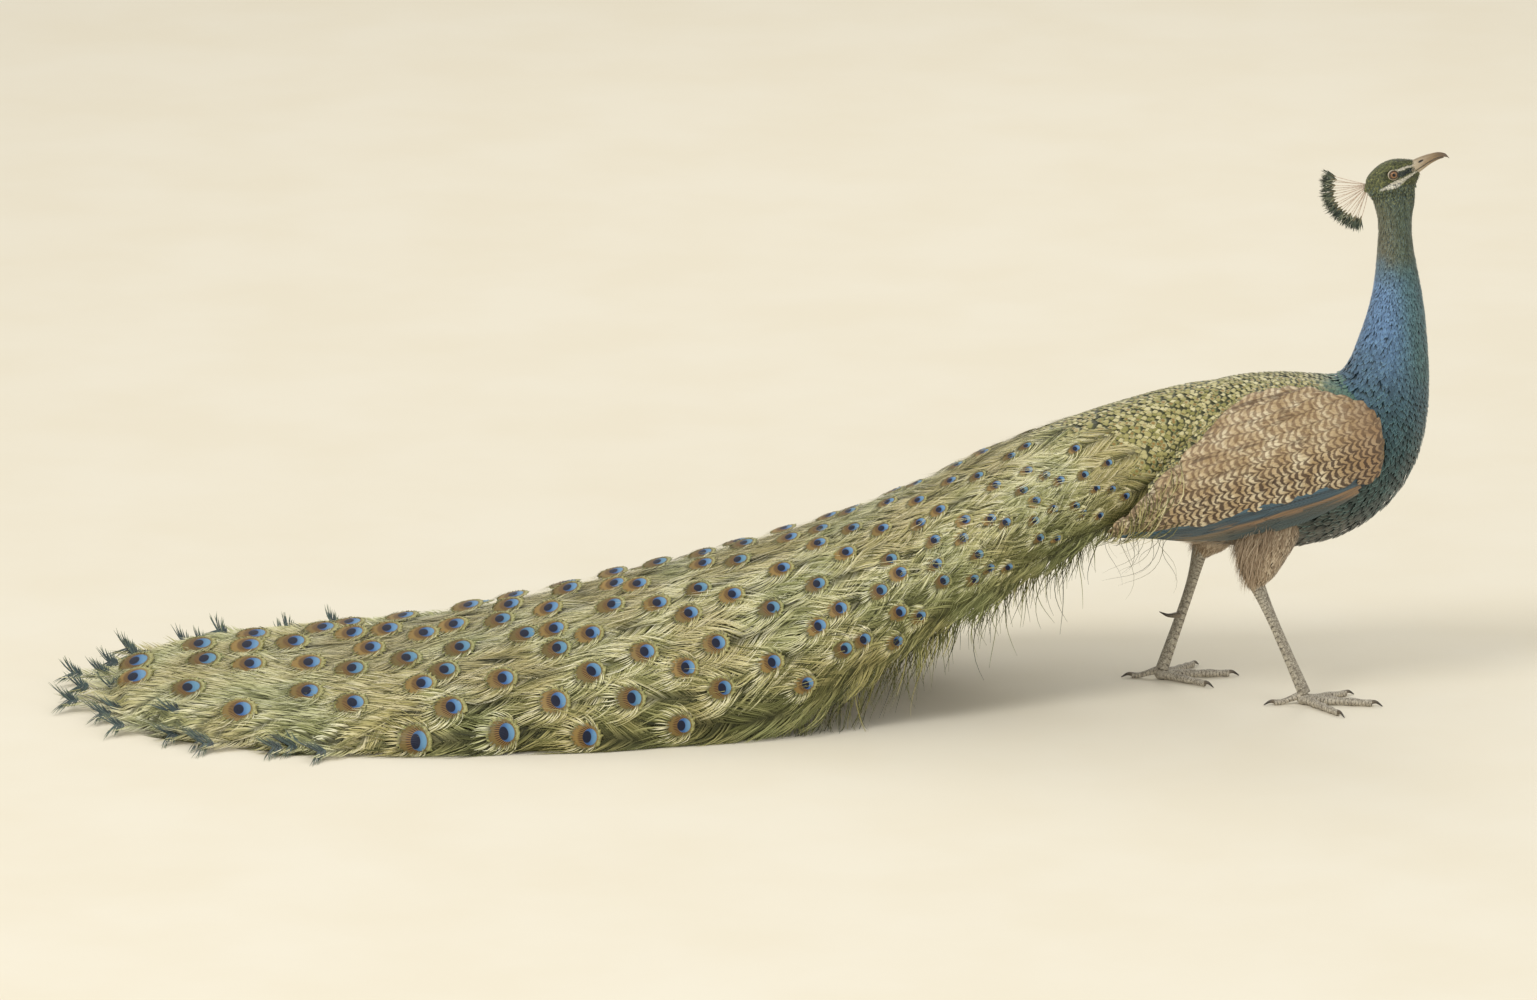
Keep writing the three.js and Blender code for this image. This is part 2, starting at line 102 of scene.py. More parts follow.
TRAIN = [
    (-134, 428, -232, 262, 92, 0),
    (-200, 411, -290, 240, 105, 0),
    (-294, 380, -372, 200, 130, 0),
    (-401, 334, -468, 146, 157, 0),
    (-508, 281, -561, 90, 184, -3),
    (-615, 236, -655, 40, 209, -8),
    (-721, 202, -748, 8, 232, -14),
    (-828, 171, -848, 0, 252, -20),
    (-935, 141, -950, 0, 267, -26),
    (-1069, 104, -1080, 0, 276, -32),
    (-1202, 75, -1208, 0, 274, -36),
    (-1330, 60, -1330, 0, 260, -36),
    (-1440, 50, -1436, 0, 228, -34),
    (-1516, 40, -1510, 0, 182, -30),
    (-1566, 28, -1560, 0, 118, -26),
    (-1586, 15, -1582, 0, 50, -24),
]  # crest x, z; edge x, z; half width; drift to the left
TRAIN_EDGE = 6  # thickness along the two sides of the train
HEAD_AT = (118, 708)
HEAD_TILT = math.radians(27)
EYE_ALONG, EYE_RISE, EYE_OUT, EYE_RADIUS = 4, 6.5, 12.3, 7.2


def smooth_table(rows):
    """A smooth curve through the rows of a table, read by a share of its length from 0 to 1."""
    rows = np.array(rows, float)
    padded = np.vstack([2 * rows[0] - rows[1], rows, 2 * rows[-1] - rows[-2]])

    def at(share):
        share = np.asarray(share, float)
        inside = np.clip(share, 0, 1)
        place = inside * (len(rows) - 1)
        row = np.minimum(place.astype(int), len(rows) - 2)
        part = (place - row)[..., None]
        before, here, after, following = (padded[row + k] for k in range(4))
        leave, arrive = (after - before) / 2, (following - here) / 2
        past = ((share - inside) * (len(rows) - 1))[..., None]
        return (
            here
            + part * leave
            + part**2 * (3 * (after - here) - 2 * leave - arrive)
            + part**3 * (2 * (here - after) + leave + arrive)
            + past * np.where(past < 0, rows[1] - rows[0], rows[-1] - rows[-2])
        )

    return at


def side_by_side(*parts):
    """Coordinates joined as the last axis of one array; a single number fits itself to the rest."""
    return np.stack(np.broadcast_arrays(*parts), -1).astype(float)


def head_point(along, out, up):
    """A point of the head's own tilted frame, in millimetres from the datum."""
    c, s = math.cos(HEAD_TILT), math.sin(HEAD_TILT)
    return side_by_side(HEAD_AT[0] + along * c - up * s, out, HEAD_AT[1] + along * s + up * c)


eye_low, eye_high = (np.array(corner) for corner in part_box("eye_right"))
DATUM = (eye_low + eye_high) / 2 - head_point(EYE_ALONG, -EYE_OUT, EYE_RISE) / 1000


def to_frame(points):
    """Millimetres from the bird's datum to metres in the frame."""
    return np.asarray(points, float) / 1000 + DATUM


print("datum in the frame:", DATUM.round(5))

# %% [markdown]
# ## Surfaces to lay feathers on
# A feather follows the form below it. Each region of the bird is therefore a surface with two directions: a
# share along the bird, and an angle or share round it. The tables give these surfaces directly, so the
# feathers need no guessing about where the skin is.

# %% Surfaces of body, head, wing and train
trunk_rows, head_rows = smooth_table(TRUNK), smooth_table(HEAD)
wing_rows, train_rows = smooth_table(WING), smooth_table(TRAIN)


def body_surface(share, angle):
    top_x, top_z, low_x, low_z, half = np.moveaxis(trunk_rows(share), -1, 0)
    rise = (1 + np.cos(angle)) / 2
    return side_by_side(low_x + (top_x - low_x) * rise, half * np.sin(angle), low_z + (top_z - low_z) * rise)


def head_surface(share, angle):
    along, rise, depth, half = np.moveaxis(head_rows(share), -1, 0)
    height = np.where(np.cos(angle) > 0, rise, depth)
    return head_point(along, half * np.sin(angle), height * np.cos(angle))


def wing_surface(side):
    def surface(share, down):
        x, middle, high, half, top, low = np.moveaxis(wing_rows(share), -1, 0)
        angle = np.radians(top + (low - top) * down)
        return side_by_side(x, side * half * np.sin(angle), middle + high * np.cos(angle))

    return surface


def train_surface(share, angle):
    """Half an arch; past its two edges the surface goes on down and a little outwards."""
    top_x, top_z, edge_x, edge_z, half, drift = np.moveaxis(train_rows(share), -1, 0)
    under = np.maximum(edge_z, 0)
    held = np.clip(angle, -math.pi / 2, math.pi / 2)
    crown = np.cos(held)
    past = (np.abs(angle) - np.abs(held)) * np.hypot(edge_x - top_x, top_z - under - TRAIN_EDGE)
    return side_by_side(
        edge_x + (top_x - edge_x) * crown - 0.3 * past,
        drift + half * np.sin(held) + 0.35 * np.sign(angle) * past,
        under + TRAIN_EDGE + (top_z - under - TRAIN_EDGE) * crown - 0.85 * past,
    )


def distance_along(points):
    """How far each point of a path lies from its start."""
    return np.r_[0, np.cumsum(np.linalg.norm(np.diff(points, axis=0), axis=1))]


def unit(vectors):
    return vectors / np.maximum(np.linalg.norm(vectors, axis=-1, keepdims=True), 1e-9)


STEP = 1e-3


def slopes(surface, share, angle):
    """How the surface moves as its two numbers grow, and which way it faces."""
    along = (surface(share + STEP, angle) - surface(share - STEP, angle)) / (2 * STEP)
    around = (surface(share, angle + STEP) - surface(share, angle - STEP)) / (2 * STEP)
    return along, around, unit(np.cross(along, around))


def stretch(surface, share, angle):
    """How many millimetres a whole share, and a whole unit of angle, are worth at a place."""
    along, around, _ = slopes(surface, share, angle)
    return np.linalg.norm(along, axis=-1), np.linalg.norm(around, axis=-1)


crest_length = distance_along(train_surface(np.linspace(0, 1, 200), 0.0))[-1]
print("train length along its crest, mm:", round(crest_length))

# %% [markdown]
# ## Laying many feathers at once
# A coat has thousands of feathers, so they are built as arrays: one small grid is the pattern of a feather,
# and it is laid at every root at once. `Form` knows a surface, which way feathers lie on it and which way
# is out. Its `lay` turns "so many millimetres ahead, aside and above the root" into points that follow the
# curve of the body.

# %% A form that feathers lie on
class Form:
    def __init__(self, surface, lie, outward):
        self.surface, self.lie, self.outward = surface, lie, outward

    def frame_at(self, share, angle):
        along, around, facing = slopes(self.surface, share, angle)
        facing = facing * self.outward
        ahead = unit(along) * self.lie
        return along, around, ahead, np.cross(facing, ahead), facing

    def lay(self, share, angle, ahead, aside, lift, turn=0.0):
        """Points for feathers rooted at share, angle (N); ahead, aside and lift are (N, M) millimetres."""
        along, around, forward, sideways, _ = self.frame_at(share, angle)
        turn = np.broadcast_to(turn, share.shape)[:, None]
        go = ahead * np.cos(turn) - aside * np.sin(turn)
        over = ahead * np.sin(turn) + aside * np.cos(turn)
        move = go[..., None] * forward[:, None] + over[..., None] * sideways[:, None]
        a, b = along[:, None], around[:, None]
        aa, ab, bb = (a * a).sum(-1), (a * b).sum(-1), (b * b).sum(-1)
        ma, mb = (move * a).sum(-1), (move * b).sum(-1)
        area = aa * bb - ab * ab
        shares = share[:, None] + (bb * ma - ab * mb) / area
        angles = angle[:, None] + (aa * mb - ab * ma) / area
        _, _, facing = slopes(self.surface, np.clip(shares, 0.002, 0.998), angles)
        return self.surface(shares, angles) + facing * self.outward * lift[..., None]


BODY = Form(body_surface, -1, 1)
CROWN = Form(head_surface, -1, 1)
TRAIN_TOP = Form(train_surface, 1, -1)
SIDES = {"right": -1, "left": 1}
FULL_TURN = 6.3  # radians, a little over one turn, for waves that start anywhere
WINGS = {name: Form(wing_surface(side), 1, -side) for name, side in SIDES.items()}


def reader(measure):
    """A measure is one number, a pair of lists to read between, or a function of the share."""
    if callable(measure):
        return measure
    return lambda share: np.interp(share, *measure) if isinstance(measure, tuple) else measure


def rows_on(form, share_from, share_to, row_pitch, gap_across, angle_from, angle_to, jitter, seed):
    """Roots in staggered rows. The gaps along and across are measures in millimetres."""
    rng = np.random.default_rng(seed)
    row_pitch, gap_across = reader(row_pitch), reader(gap_across)
    walk = np.linspace(share_from, share_to, 400)
    middle = np.full(400, (angle_from + angle_to) / 2)
    if angle_to - angle_from > 3.5:
        middle = np.full(400, math.pi / 2)
    length = distance_along(form.surface(walk, middle))
    shares, angles, place, odd = [], [], 0.0, 0
    while place < length[-1]:
        share = float(np.interp(place, length, walk))
        around = np.linspace(angle_from, angle_to, 120)
        girth = distance_along(form.surface(np.full(120, share), around))
        count = max(2, round(girth[-1] / gap_across(share)))
        at = (np.arange(count) + 0.25 + 0.5 * (odd % 2)) / count + rng.normal(0, jitter / count, count)
        angles.append(np.interp(at * girth[-1], girth, around))
        shares.append(
            share + rng.normal(0, jitter, count) * (walk[-1] - walk[0]) * row_pitch(share) / length[-1]
        )
        place += row_pitch(share)
        odd += 1
    return np.concatenate(shares), np.concatenate(angles)


# %% [markdown]
# ## One feather pattern
# The pattern is a small grid. Its outline comes from a width at each place along the feather, the tip is
# rounded by drawing the outer columns back, and the vane is a little arched, so that its edges catch the
# light.

# %% The feather pattern
def feather_pattern(columns, rows, tip=0.25, root=0.4):
    """(M, 2) places across -1..1 and along 0..1, a width for each row, and the quads between them."""
    across, along = np.meshgrid(np.linspace(-1, 1, columns), np.linspace(0, 1, rows))
    width = root + (1 - root) * np.sin(np.clip(along * 1.35, 0, 1) * math.pi / 2)
    width = width * (1 - (1 - tip) * np.clip((along - 0.62) / 0.38, 0, 1) ** 2)
    quads = [
        (i * columns + j, i * columns + j + 1, (i + 1) * columns + j + 1, (i + 1) * columns + j)
        for i in range(rows - 1)
        for j in range(columns - 1)
    ]
    return across.ravel(), along.ravel(), width.ravel(), np.array(quads)


class Coat:
    """Gathers feathers for one piece: points, faces, feather coordinates and patches of the bake map."""

    def __init__(self):
        self.points, self.faces, self.vane, self.patch, self.total = [], [], [], [], 0

    def add(self, points, quads, across, along, tone, u=0.5, v=0.5, size=0.003, patch=None):
        """N feathers of M points (N, M, 3) in millimetres; across and along are (M), tone, u and v (N)."""
        count, each = points.shape[:2]
        spread = lambda values: np.broadcast_to(values, (count, each))
        if patch is None:
            patch = patches(*np.broadcast_arrays(u, v, tone)[:2], across, along, size)
        self.points.append(points.reshape(-1, 3))
        self.faces.append(
            (np.arange(count)[:, None, None] * each + quads[None] + self.total).reshape(-1, quads.shape[1])
        )
        self.vane.append(side_by_side(spread(across), along, tone[:, None]).reshape(-1, 3))
        self.patch.append(patch.reshape(-1, 2))
        self.total += count * each

    def piece(self, name, material, slot, nodes=()):
        arrays = (np.vstack(part) for part in (self.points, self.faces, self.vane, self.patch))
        return coat_piece(name, *arrays, material, slot, nodes)


def coat_piece(name, points, faces, vane, patch, material, slot, nodes=()):
    mesh = bpy.data.meshes.new(name)
    mesh.vertices.add(len(points))
    mesh.vertices.foreach_set("co", to_frame(points).astype(np.float32).ravel())
    corners = faces.shape[1]
    mesh.loops.add(faces.size)
    mesh.loops.foreach_set("vertex_index", faces.astype(np.int32).ravel())
    mesh.polygons.add(len(faces))
    mesh.polygons.foreach_set("loop_start", np.arange(0, faces.size, corners, dtype=np.int32))
    mesh.update(calc_edges=True)
    mesh.polygons.foreach_set("use_smooth", np.ones(len(faces), bool))
    mesh.uv_layers.new(name="OFBake").data.foreach_set("uv", patch[faces.ravel()].astype(np.float32).ravel())
    piece = bpy.data.objects.new(name, mesh)
    bpy.context.scene.collection.objects.link(piece)
    write_vane(piece, vane)
    return dress(piece, material, nodes)


def write_vane(piece, values):
    """Gives every vertex its own across, along and tone."""
    vane = piece.data.attributes.new("vane", "FLOAT_VECTOR", "POINT")
    vane.data.foreach_set("vector", np.asarray(values, np.float32).ravel())


def dress(piece, material, nodes=()):
    """Every piece gets its material, a body to ride on and the solid parts it stands for."""
    if material:
        piece.data.materials.clear()
        piece.data.materials.append(material)
    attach(piece, "root")
    if nodes:
        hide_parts(*nodes)
    triangles = sum(len(face.vertices) - 2 for face in piece.data.polygons)
    print(piece.name, triangles, "triangles")
    return piece


def patches(u, v, across, along, size=0.003):
    """A small square of the bake map for each feather, at its root's place on the unwrapped form."""
    base = side_by_side(0.01 + 0.98 * u, 0.01 + 0.98 * v)[:, None]
    local = side_by_side(across / 2, along - 0.5)
    return np.clip(base + local * size, 0.001, 0.999)


def shelf(share, band):
    """Where each root stands in a band of the bake map that one group of feathers has for itself."""
    return band[0] + (band[1] - band[0]) * (share - share.min()) / max(np.ptp(share), 1e-6)


def vaned(
    coat, form, share, angle, length, width, pattern, lift, turn=0.0, seed=0, keep=None, patch=0.003,
    span=None, raised=None, band=(0.0, 1.0),
):
    """Lays plain feathers by length, half width and lift at root and tip; raised lifts each by its own."""
    across, along, shape, quads = pattern
    raised = np.zeros(len(share)) if raised is None else raised
    if keep is not None:
        share, angle, length, width, raised = (part[keep] for part in (share, angle, length, width, raised))
        turn = turn[keep] if np.ndim(turn) else turn
    ahead = length[:, None] * (along - 0.1 * (across * along) ** 2)[None]
    aside = width[:, None] * (across * shape)[None]
    low, high = lift
    rise = low + (high - low) * along - 0.9 * (along**3) * (high - low) * 0.25
    arch = rise[None] + raised[:, None] - 0.16 * width[:, None] * (across**2)[None]
    points = form.lay(share, angle, ahead, aside, arch, turn)
    span = span or (angle.min(), angle.max())
    u = (angle - span[0]) / (span[1] - span[0])
    tone = np.random.default_rng(seed).random(len(share))
    coat.add(points, quads, across, along, tone, np.clip(u, 0, 1), shelf(share, band), patch)


print("forms ready:", ", ".join(["body", "head", "train", *WINGS]))

# %% [markdown]
# ## Paints
# Every finish is a small graph of nodes that ends in one Principled shader. Wiring such a graph by hand is
# long, so `Value` stands for what a node puts out: adding or multiplying two values adds a Math node, and a
# finish reads like arithmetic. Feathers carry an attribute called vane: x is across the feather, y is along
# it and z is a random tone, one for each feather.

# %% A helper for building finishes
def colour(code):
    """A colour from its usual six-figure code, as linear light."""
    parts = [int(code[i : i + 2], 16) / 255 for i in (0, 2, 4)]
    return tuple(p / 12.92 if p <= 0.04045 else ((p + 0.055) / 1.055) ** 2.4 for p in parts) + (1.0,)


class Value:
    """A number, colour or place that a finish works out anew at each point; sums of values become nodes."""

    def __init__(self, paint, socket):
        self.paint, self.socket = paint, socket

    def __add__(self, other):
        return self.paint.calc("ADD", self, other)

    def __radd__(self, other):
        return self.paint.calc("ADD", other, self)

    def __sub__(self, other):
        return self.paint.calc("SUBTRACT", self, other)

    def __rsub__(self, other):
        return self.paint.calc("SUBTRACT", other, self)

    def __mul__(self, other):
        return self.paint.calc("MULTIPLY", self, other)

    def __truediv__(self, other):
        return self.paint.calc("DIVIDE", self, other)

    def __pow__(self, other):
        return self.paint.calc("POWER", self, other)

    def __abs__(self):
        return self.calc("ABSOLUTE")

    def calc(self, operation, other=0.0):
        return self.paint.calc(operation, self, other)

    def between(self, low, high, curve="SMOOTHSTEP"):
        """0 at low and before it, 1 at high and past it; low may be above high."""
        ends = float(low), float(high), 0.0, 1.0
        return self.paint.node("ShaderNodeMapRange", self, *ends, interpolation_type=curve)

    def shades(self, *stops):
        """A ramp through (place, colour code) stops."""
        node = self.paint.tree.nodes.new("ShaderNodeValToRGB")
        self.paint.put(node.inputs[0], self)
        for place, _ in stops[2:]:
            node.color_ramp.elements.new(place)
        for element, (place, code) in zip(node.color_ramp.elements, stops):
            element.position, element.color = place, colour(code)
        return Value(self.paint, node.outputs[0])

    def noise(self, scale, detail=2.0, rough=0.5, distortion=0.0):
        dials = {"Scale": scale, "Detail": detail, "Roughness": rough, "Distortion": distortion}
        return self.paint.node("ShaderNodeTexNoise", self, dials=dials)

    def split(self):
        parted = self.paint.node("ShaderNodeSeparateXYZ", self)
        return [Value(self.paint, output) for output in parted.socket.node.outputs]

    def tint(self, shade, where, strength):
        """This colour drawn towards a shade, as far as a mask and a strength say."""
        return self.paint.mix(where * strength, self, shade)


class Paint:
    def __init__(self, name, roughness=0.6, specular=0.4, sheen=0.0, coat=0.0, coat_roughness=0.1):
        self.material = bpy.data.materials.new(name)
        self.material.use_nodes = True
        self.tree = self.material.node_tree
        self.shader = self.tree.nodes["Principled BSDF"]
        for socket, value in (
            ("Roughness", roughness),
            ("Specular IOR Level", specular),
            ("Sheen Weight", sheen),
            ("Coat Weight", coat),
            ("Coat Roughness", coat_roughness),
        ):
            self.shader.inputs[socket].default_value = value

    def put(self, socket, value):
        if isinstance(value, Value):
            self.tree.links.new(value.socket, socket)
        else:
            socket.default_value = value

    def node(self, kind, *inputs, dials=None, **settings):
        """A node with its settings, its first inputs in order, and dials for inputs that go by name."""
        node = self.tree.nodes.new(kind)
        for name, value in settings.items():
            setattr(node, name, value)
        for key, value in [*enumerate(inputs), *(dials or {}).items()]:
            self.put(node.inputs[key], value)
        return Value(self, node.outputs[0])

    def calc(self, operation, a, b):
        return self.node("ShaderNodeMath", a, b, operation=operation)

    def mix(self, factor, a, b, blend="MIX"):
        node = self.tree.nodes.new("ShaderNodeMix")
        node.data_type, node.blend_type = "RGBA", blend
        for socket, value in ((node.inputs[0], factor), (node.inputs[6], a), (node.inputs[7], b)):
            self.put(socket, colour(value) if isinstance(value, str) else value)
        return Value(self, node.outputs[2])

    def join(self, x=0.0, y=0.0, z=0.0):
        return self.node("ShaderNodeCombineXYZ", x, y, z)

    def place(self):
        """Object coordinates in millimetres from the bird's datum: the vector and its x, y, z."""
        here = Value(self, self.tree.nodes.new("ShaderNodeTexCoord").outputs["Object"])
        moved = self.node("ShaderNodeVectorMath", here, tuple(DATUM), operation="SUBTRACT")
        scaled = self.node("ShaderNodeVectorMath", moved, operation="SCALE", dials={"Scale": 1000.0})
        return scaled, *scaled.split()

    def vane(self):
        """Across, along and tone of the feather."""
        node = self.tree.nodes.new("ShaderNodeAttribute")
        node.attribute_name = "vane"
        return Value(self, node.outputs["Vector"]).split()

    def bump(self, height, strength=0.3, distance=0.001):
        dials = {"Strength": strength, "Distance": distance, "Height": height}
        self.put(self.shader.inputs["Normal"], self.node("ShaderNodeBump", dials=dials))

    def finish(self, base, roughness=None):
        self.put(self.shader.inputs["Base Color"], base)
        if roughness is not None:
            self.put(self.shader.inputs["Roughness"], roughness)
        return self.material


# %% [markdown]
# ## The markings of the body
# The skin below and the feathers above must carry the same markings, so the markings are one function that
# both finishes call. They depend only on the place on the bird: olive head and throat, steel-blue neck,
# teal breast, dark belly. The head's own frame places the white bare skin above and below the eye and the
# dark line between them.

# %% Markings by place on the bird
def body_marks(paint):
    here, x, _, z = paint.place()
    wander = (here.noise(0.03, 3.0) - 0.5) * 60.0
    height = z + wander
    upward = height.between(425.0, 690.0)
    neck = upward.shades(
        (0.0, "4A6A86"), (0.2, "6286B2"), (0.52, "7094C2"), (0.66, "647F92"), (0.78, "77735C"),
        (1.0, "746F4F"),
    )
    throat_x = 172.0 + (z - 434.0) * -0.125
    to_throat = throat_x - (x + wander * 0.25)
    front = to_throat.between(52.0, 8.0)
    throat = paint.mix(upward.between(0.5, 0.8), "44685C", "4A5A42")
    neck = neck.tint(throat, front, 0.8)
    breast = height.between(200.0, 450.0).shades(
        (0.0, "4A4335"), (0.16, "35403A"), (0.38, "27413F"), (0.7, "2C4C52"), (1.0, "3D5C6C")
    )
    base = paint.mix(height.between(395.0, 470.0), breast, neck)
    behind = x.between(-40.0, -130.0)
    base = paint.mix(behind, base, "6B5B45")
    return here, base


def head_axes(x, z):
    """How far along the head's own frame and how far up it a point lies."""
    dx, dz = x - HEAD_AT[0], z - HEAD_AT[1]
    c, s = math.cos(HEAD_TILT), math.sin(HEAD_TILT)
    return dx * c + dz * s, dz * c - dx * s


def head_marks(paint):
    """The head's colours by the head's own frame: how far along it and how far up."""
    here, x, y, z = paint.place()
    along, up = head_axes(x, z)
    fleck = here.noise(0.35, 3.0, 0.6)
    head = fleck.shades((0.3, "2A3022"), (0.48, "4C5338"), (0.62, "7A7D4C"), (0.75, "A3A163"))
    wobble = (here.noise(0.25, 2.0) - 0.5) * 3.0

    def band(length_from, rise_from, length_to, rise_to, wide_from, wide_to):
        """A tapering stripe on the side of the head, 1 inside it."""
        share = along.between(length_from, length_to, "LINEAR")
        rise = share * (rise_to - rise_from) + float(rise_from)
        wide = share * (wide_to - wide_from) + float(wide_from)
        off = abs(up - rise + wobble)
        inside = (off - wide).between(0.8, -0.8)
        low, high = sorted((length_from, length_to))
        ends = along.between(low - 1.5, low + 1.5) * along.between(high + 2, high - 2)
        return inside * ends

    lore = band(9, 3.8, 38, -0.4, 4.0, 2.2)
    brow = band(10, 10.0, 40, 3.4, 1.8, 1.1)
    cheek_near = band(2, -5.8, 17, -5.2, 4.8, 2.2)
    cheek_front = band(16, -5.2, 35, -4.5, 2.2, 0.9)
    cheek_back = band(-20, -3.6, 2, -5.8, 1.0, 4.8)
    head = paint.mix(lore, head, "232E38")
    bare = brow
    for part in (cheek_near, cheek_front, cheek_back):
        bare = bare.calc("MAXIMUM", part)
    white = here.noise(0.8, 2.0).shades((0.35, "CFC8B4"), (0.65, "F2EEDF"))
    side = abs(y).between(5.0, 8.5)
    head = head.tint(white, bare, side)
    return head, z


def whole_marks(paint):
    """The head's markings above the throat, and the body's below."""
    here, body = body_marks(paint)
    head, z = head_marks(paint)
    ragged = z + here.noise(0.12, 3.0) * 24.0
    return here, paint.mix(ragged.between(676.0, 700.0), body, head)


print("markings ready")

# %% [markdown]
# ## One skin under the feathers
# The solid model is parted at the neck and round the thighs. A remesh melts copies of those parts into one
# closed skin, a little smoothing hides the joints, and the surface is then drawn in by the depth of the
# coat. The copies are merged first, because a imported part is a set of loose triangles. Small moves then
# shape the face: a brow over each eye, a hollow in front of it and a fuller cheek below.

# %% The skin
def as_piece(name, shell):
    mesh = bpy.data.meshes.new(name)
    shell.to_mesh(mesh)
    shell.free()
    mesh.polygons.foreach_set("use_smooth", np.ones(len(mesh.polygons), bool))
    piece = bpy.data.objects.new(name, mesh)
    bpy.context.scene.collection.objects.link(piece)
    return piece


def melted_copy(name, nodes, voxel, rounds):
    shell = bmesh.new()
    for node in nodes:
        shell.from_mesh(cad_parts[node].data)
    bmesh.ops.remove_doubles(shell, verts=shell.verts, dist=1e-5)
    piece = as_piece(name, shell)
    melt = piece.modifiers.new("melt", "REMESH")
    melt.mode, melt.voxel_size = "VOXEL", voxel
    soften = piece.modifiers.new("soften", "SMOOTH")
    soften.factor, soften.iterations = 0.5, rounds
    bpy.context.view_layer.update()
    done = bpy.data.meshes.new_from_object(piece.evaluated_get(bpy.context.evaluated_depsgraph_get()))
    piece.modifiers.clear()
    piece.data = done
    done.name = name
    done.polygons.foreach_set("use_smooth", np.ones(len(done.polygons), bool))
    return piece


def read_points(mesh):
    points, facing = np.empty(len(mesh.vertices) * 3), np.empty(len(mesh.vertices) * 3)
    mesh.vertices.foreach_get("co", points)
    mesh.vertices.foreach_get("normal", facing)
    return points.reshape(-1, 3), facing.reshape(-1, 3)


def head_frame(points):
    """Metres in the frame to along, out and up in the head's own frame, in millimetres."""
    x, out, z = (points - DATUM).T * 1000
    along, up = head_axes(x, z)
    return along, out, up


def coat_depth(height):
    """How deep the feathers stand on the skin, in millimetres, by height."""
    return np.interp(height, [220, 430, 600, 690, 715], [5.0, 4.0, 2.2, 1.6, 1.1])


def mound(along, up, at_along, at_up, reach):
    return np.exp(-((along - at_along) ** 2 + (up - at_up) ** 2) / reach**2)


SKINNED = ["head", "neck_upper", "neck_lower", "breast", "trunk", "thigh_right", "thigh_left"]
skin = melted_copy("skin", SKINNED, 0.0026, 8)
points, facing = read_points(skin.data)
along, out, up = head_frame(points)
height = (points[:, 2] - DATUM[2]) * 1000
depth = coat_depth(height)
on_head = np.clip((height - 672) / 25, 0, 1) * np.clip((np.abs(out) - 4) / 6, 0, 1)
brow, hollow = mound(along, up, 7, 15, 7), mound(along, up, 24, 2, 7)
cheek = mound(along, up, -3, -10, 9)
shape = (1.3 * brow - 1.5 * hollow + cheek) * on_head
points += facing * ((shape - depth) / 1000)[:, None]
skin.data.vertices.foreach_set("co", points.ravel())
skin.data.update()
paint = Paint("skin under the feathers", roughness=0.75, specular=0.25)
here, marks = whole_marks(paint)
grain = here.noise(0.6, 3.0, 0.6)
paint.bump(grain, 0.5, 0.0008)
skin_finish = paint.finish(paint.mix(grain.between(0.3, 0.7), paint.mix(0.55, marks, "15140F"), marks))
dress(skin, skin_finish, SKINNED)
skin_tree = BVHTree.FromObject(skin, bpy.context.evaluated_depsgraph_get())

# %% [markdown]
# ## Lofts by bridging
# Bills, legs, toes and the bed of the train are all lofts: a row of rings joined one to the next. Each ring
# starts as a circle, its points are set where the section lies, and bridge_loops makes the walls.

# %% A loft made with bmesh
def bridge_rings(rings, closed=False):
    """A bmesh skinned over rings of points in millimetres; closed joins the last ring to the first."""
    shell, loops, circles = bmesh.new(), [], []
    for ring in rings:
        circle = bmesh.ops.create_circle(shell, segments=len(ring), radius=1.0)["verts"]
        for vertex, place in zip(circle, to_frame(ring)):
            vertex.co = Vector(place)
        circles.append(circle)
        loops.append(list({edge for vertex in circle for edge in vertex.link_edges}))
    pairs = list(zip(loops, loops[1:])) + ([(loops[-1], loops[0])] if closed else [])
    for one, other in pairs:
        bmesh.ops.bridge_loops(shell, edges=one + other)
    if not closed:
        for circle in (circles[0], circles[-1]):
            bmesh.ops.contextual_create(shell, geom=circle)
    bmesh.ops.recalc_face_normals(shell, faces=shell.faces)
    return shell


def joined(shells):
    whole = bmesh.new()
    for shell in shells:
        part = bpy.data.meshes.new("part")
        shell.to_mesh(part)
        shell.free()
        whole.from_mesh(part)
        bpy.data.meshes.remove(part)
    return whole


def finished(name, shell, values, material, nodes=()):
    """A piece from a bmesh, with places of its own for the finish to read."""
    piece = as_piece(name, shell)
    write_vane(piece, values)
    return dress(piece, material, nodes)


# %% [markdown]
# ## The bill
# A peafowl's bill is two jaws of smooth horn: a stout, hooked upper one with a ridge along the top and a
# slit of a nostril, and a slimmer lower one that closes inside it. Each jaw is an arch over a flat mouth
# side, so its rings are half ovals. The nostril is pressed into the side and the hook is part of the table
# of sections.

# %% Both jaws
UPPER_BILL = [
    (26, -3.5, 13.5, 9.4),
    (38, -2.5, 12.2, 8.4),
    (50, -1, 9.8, 6.6),
    (62, -0.8, 7.4, 5),
    (71, -2.6, 6.4, 3.4),
    (78, -7, 5.2, 1.7),
    (80, -10.5, 2, 0.5),
]  # distance along the head's axis, mouth line, height from it, half width
LOWER_BILL = [
    (26, -4.1, 6.5, 8.4), (40, -3, 5, 6.8), (54, -1.7, 3.6, 4.8), (66, -2.2, 2.6, 3), (74, -4.6, 1.2, 1.1)
]


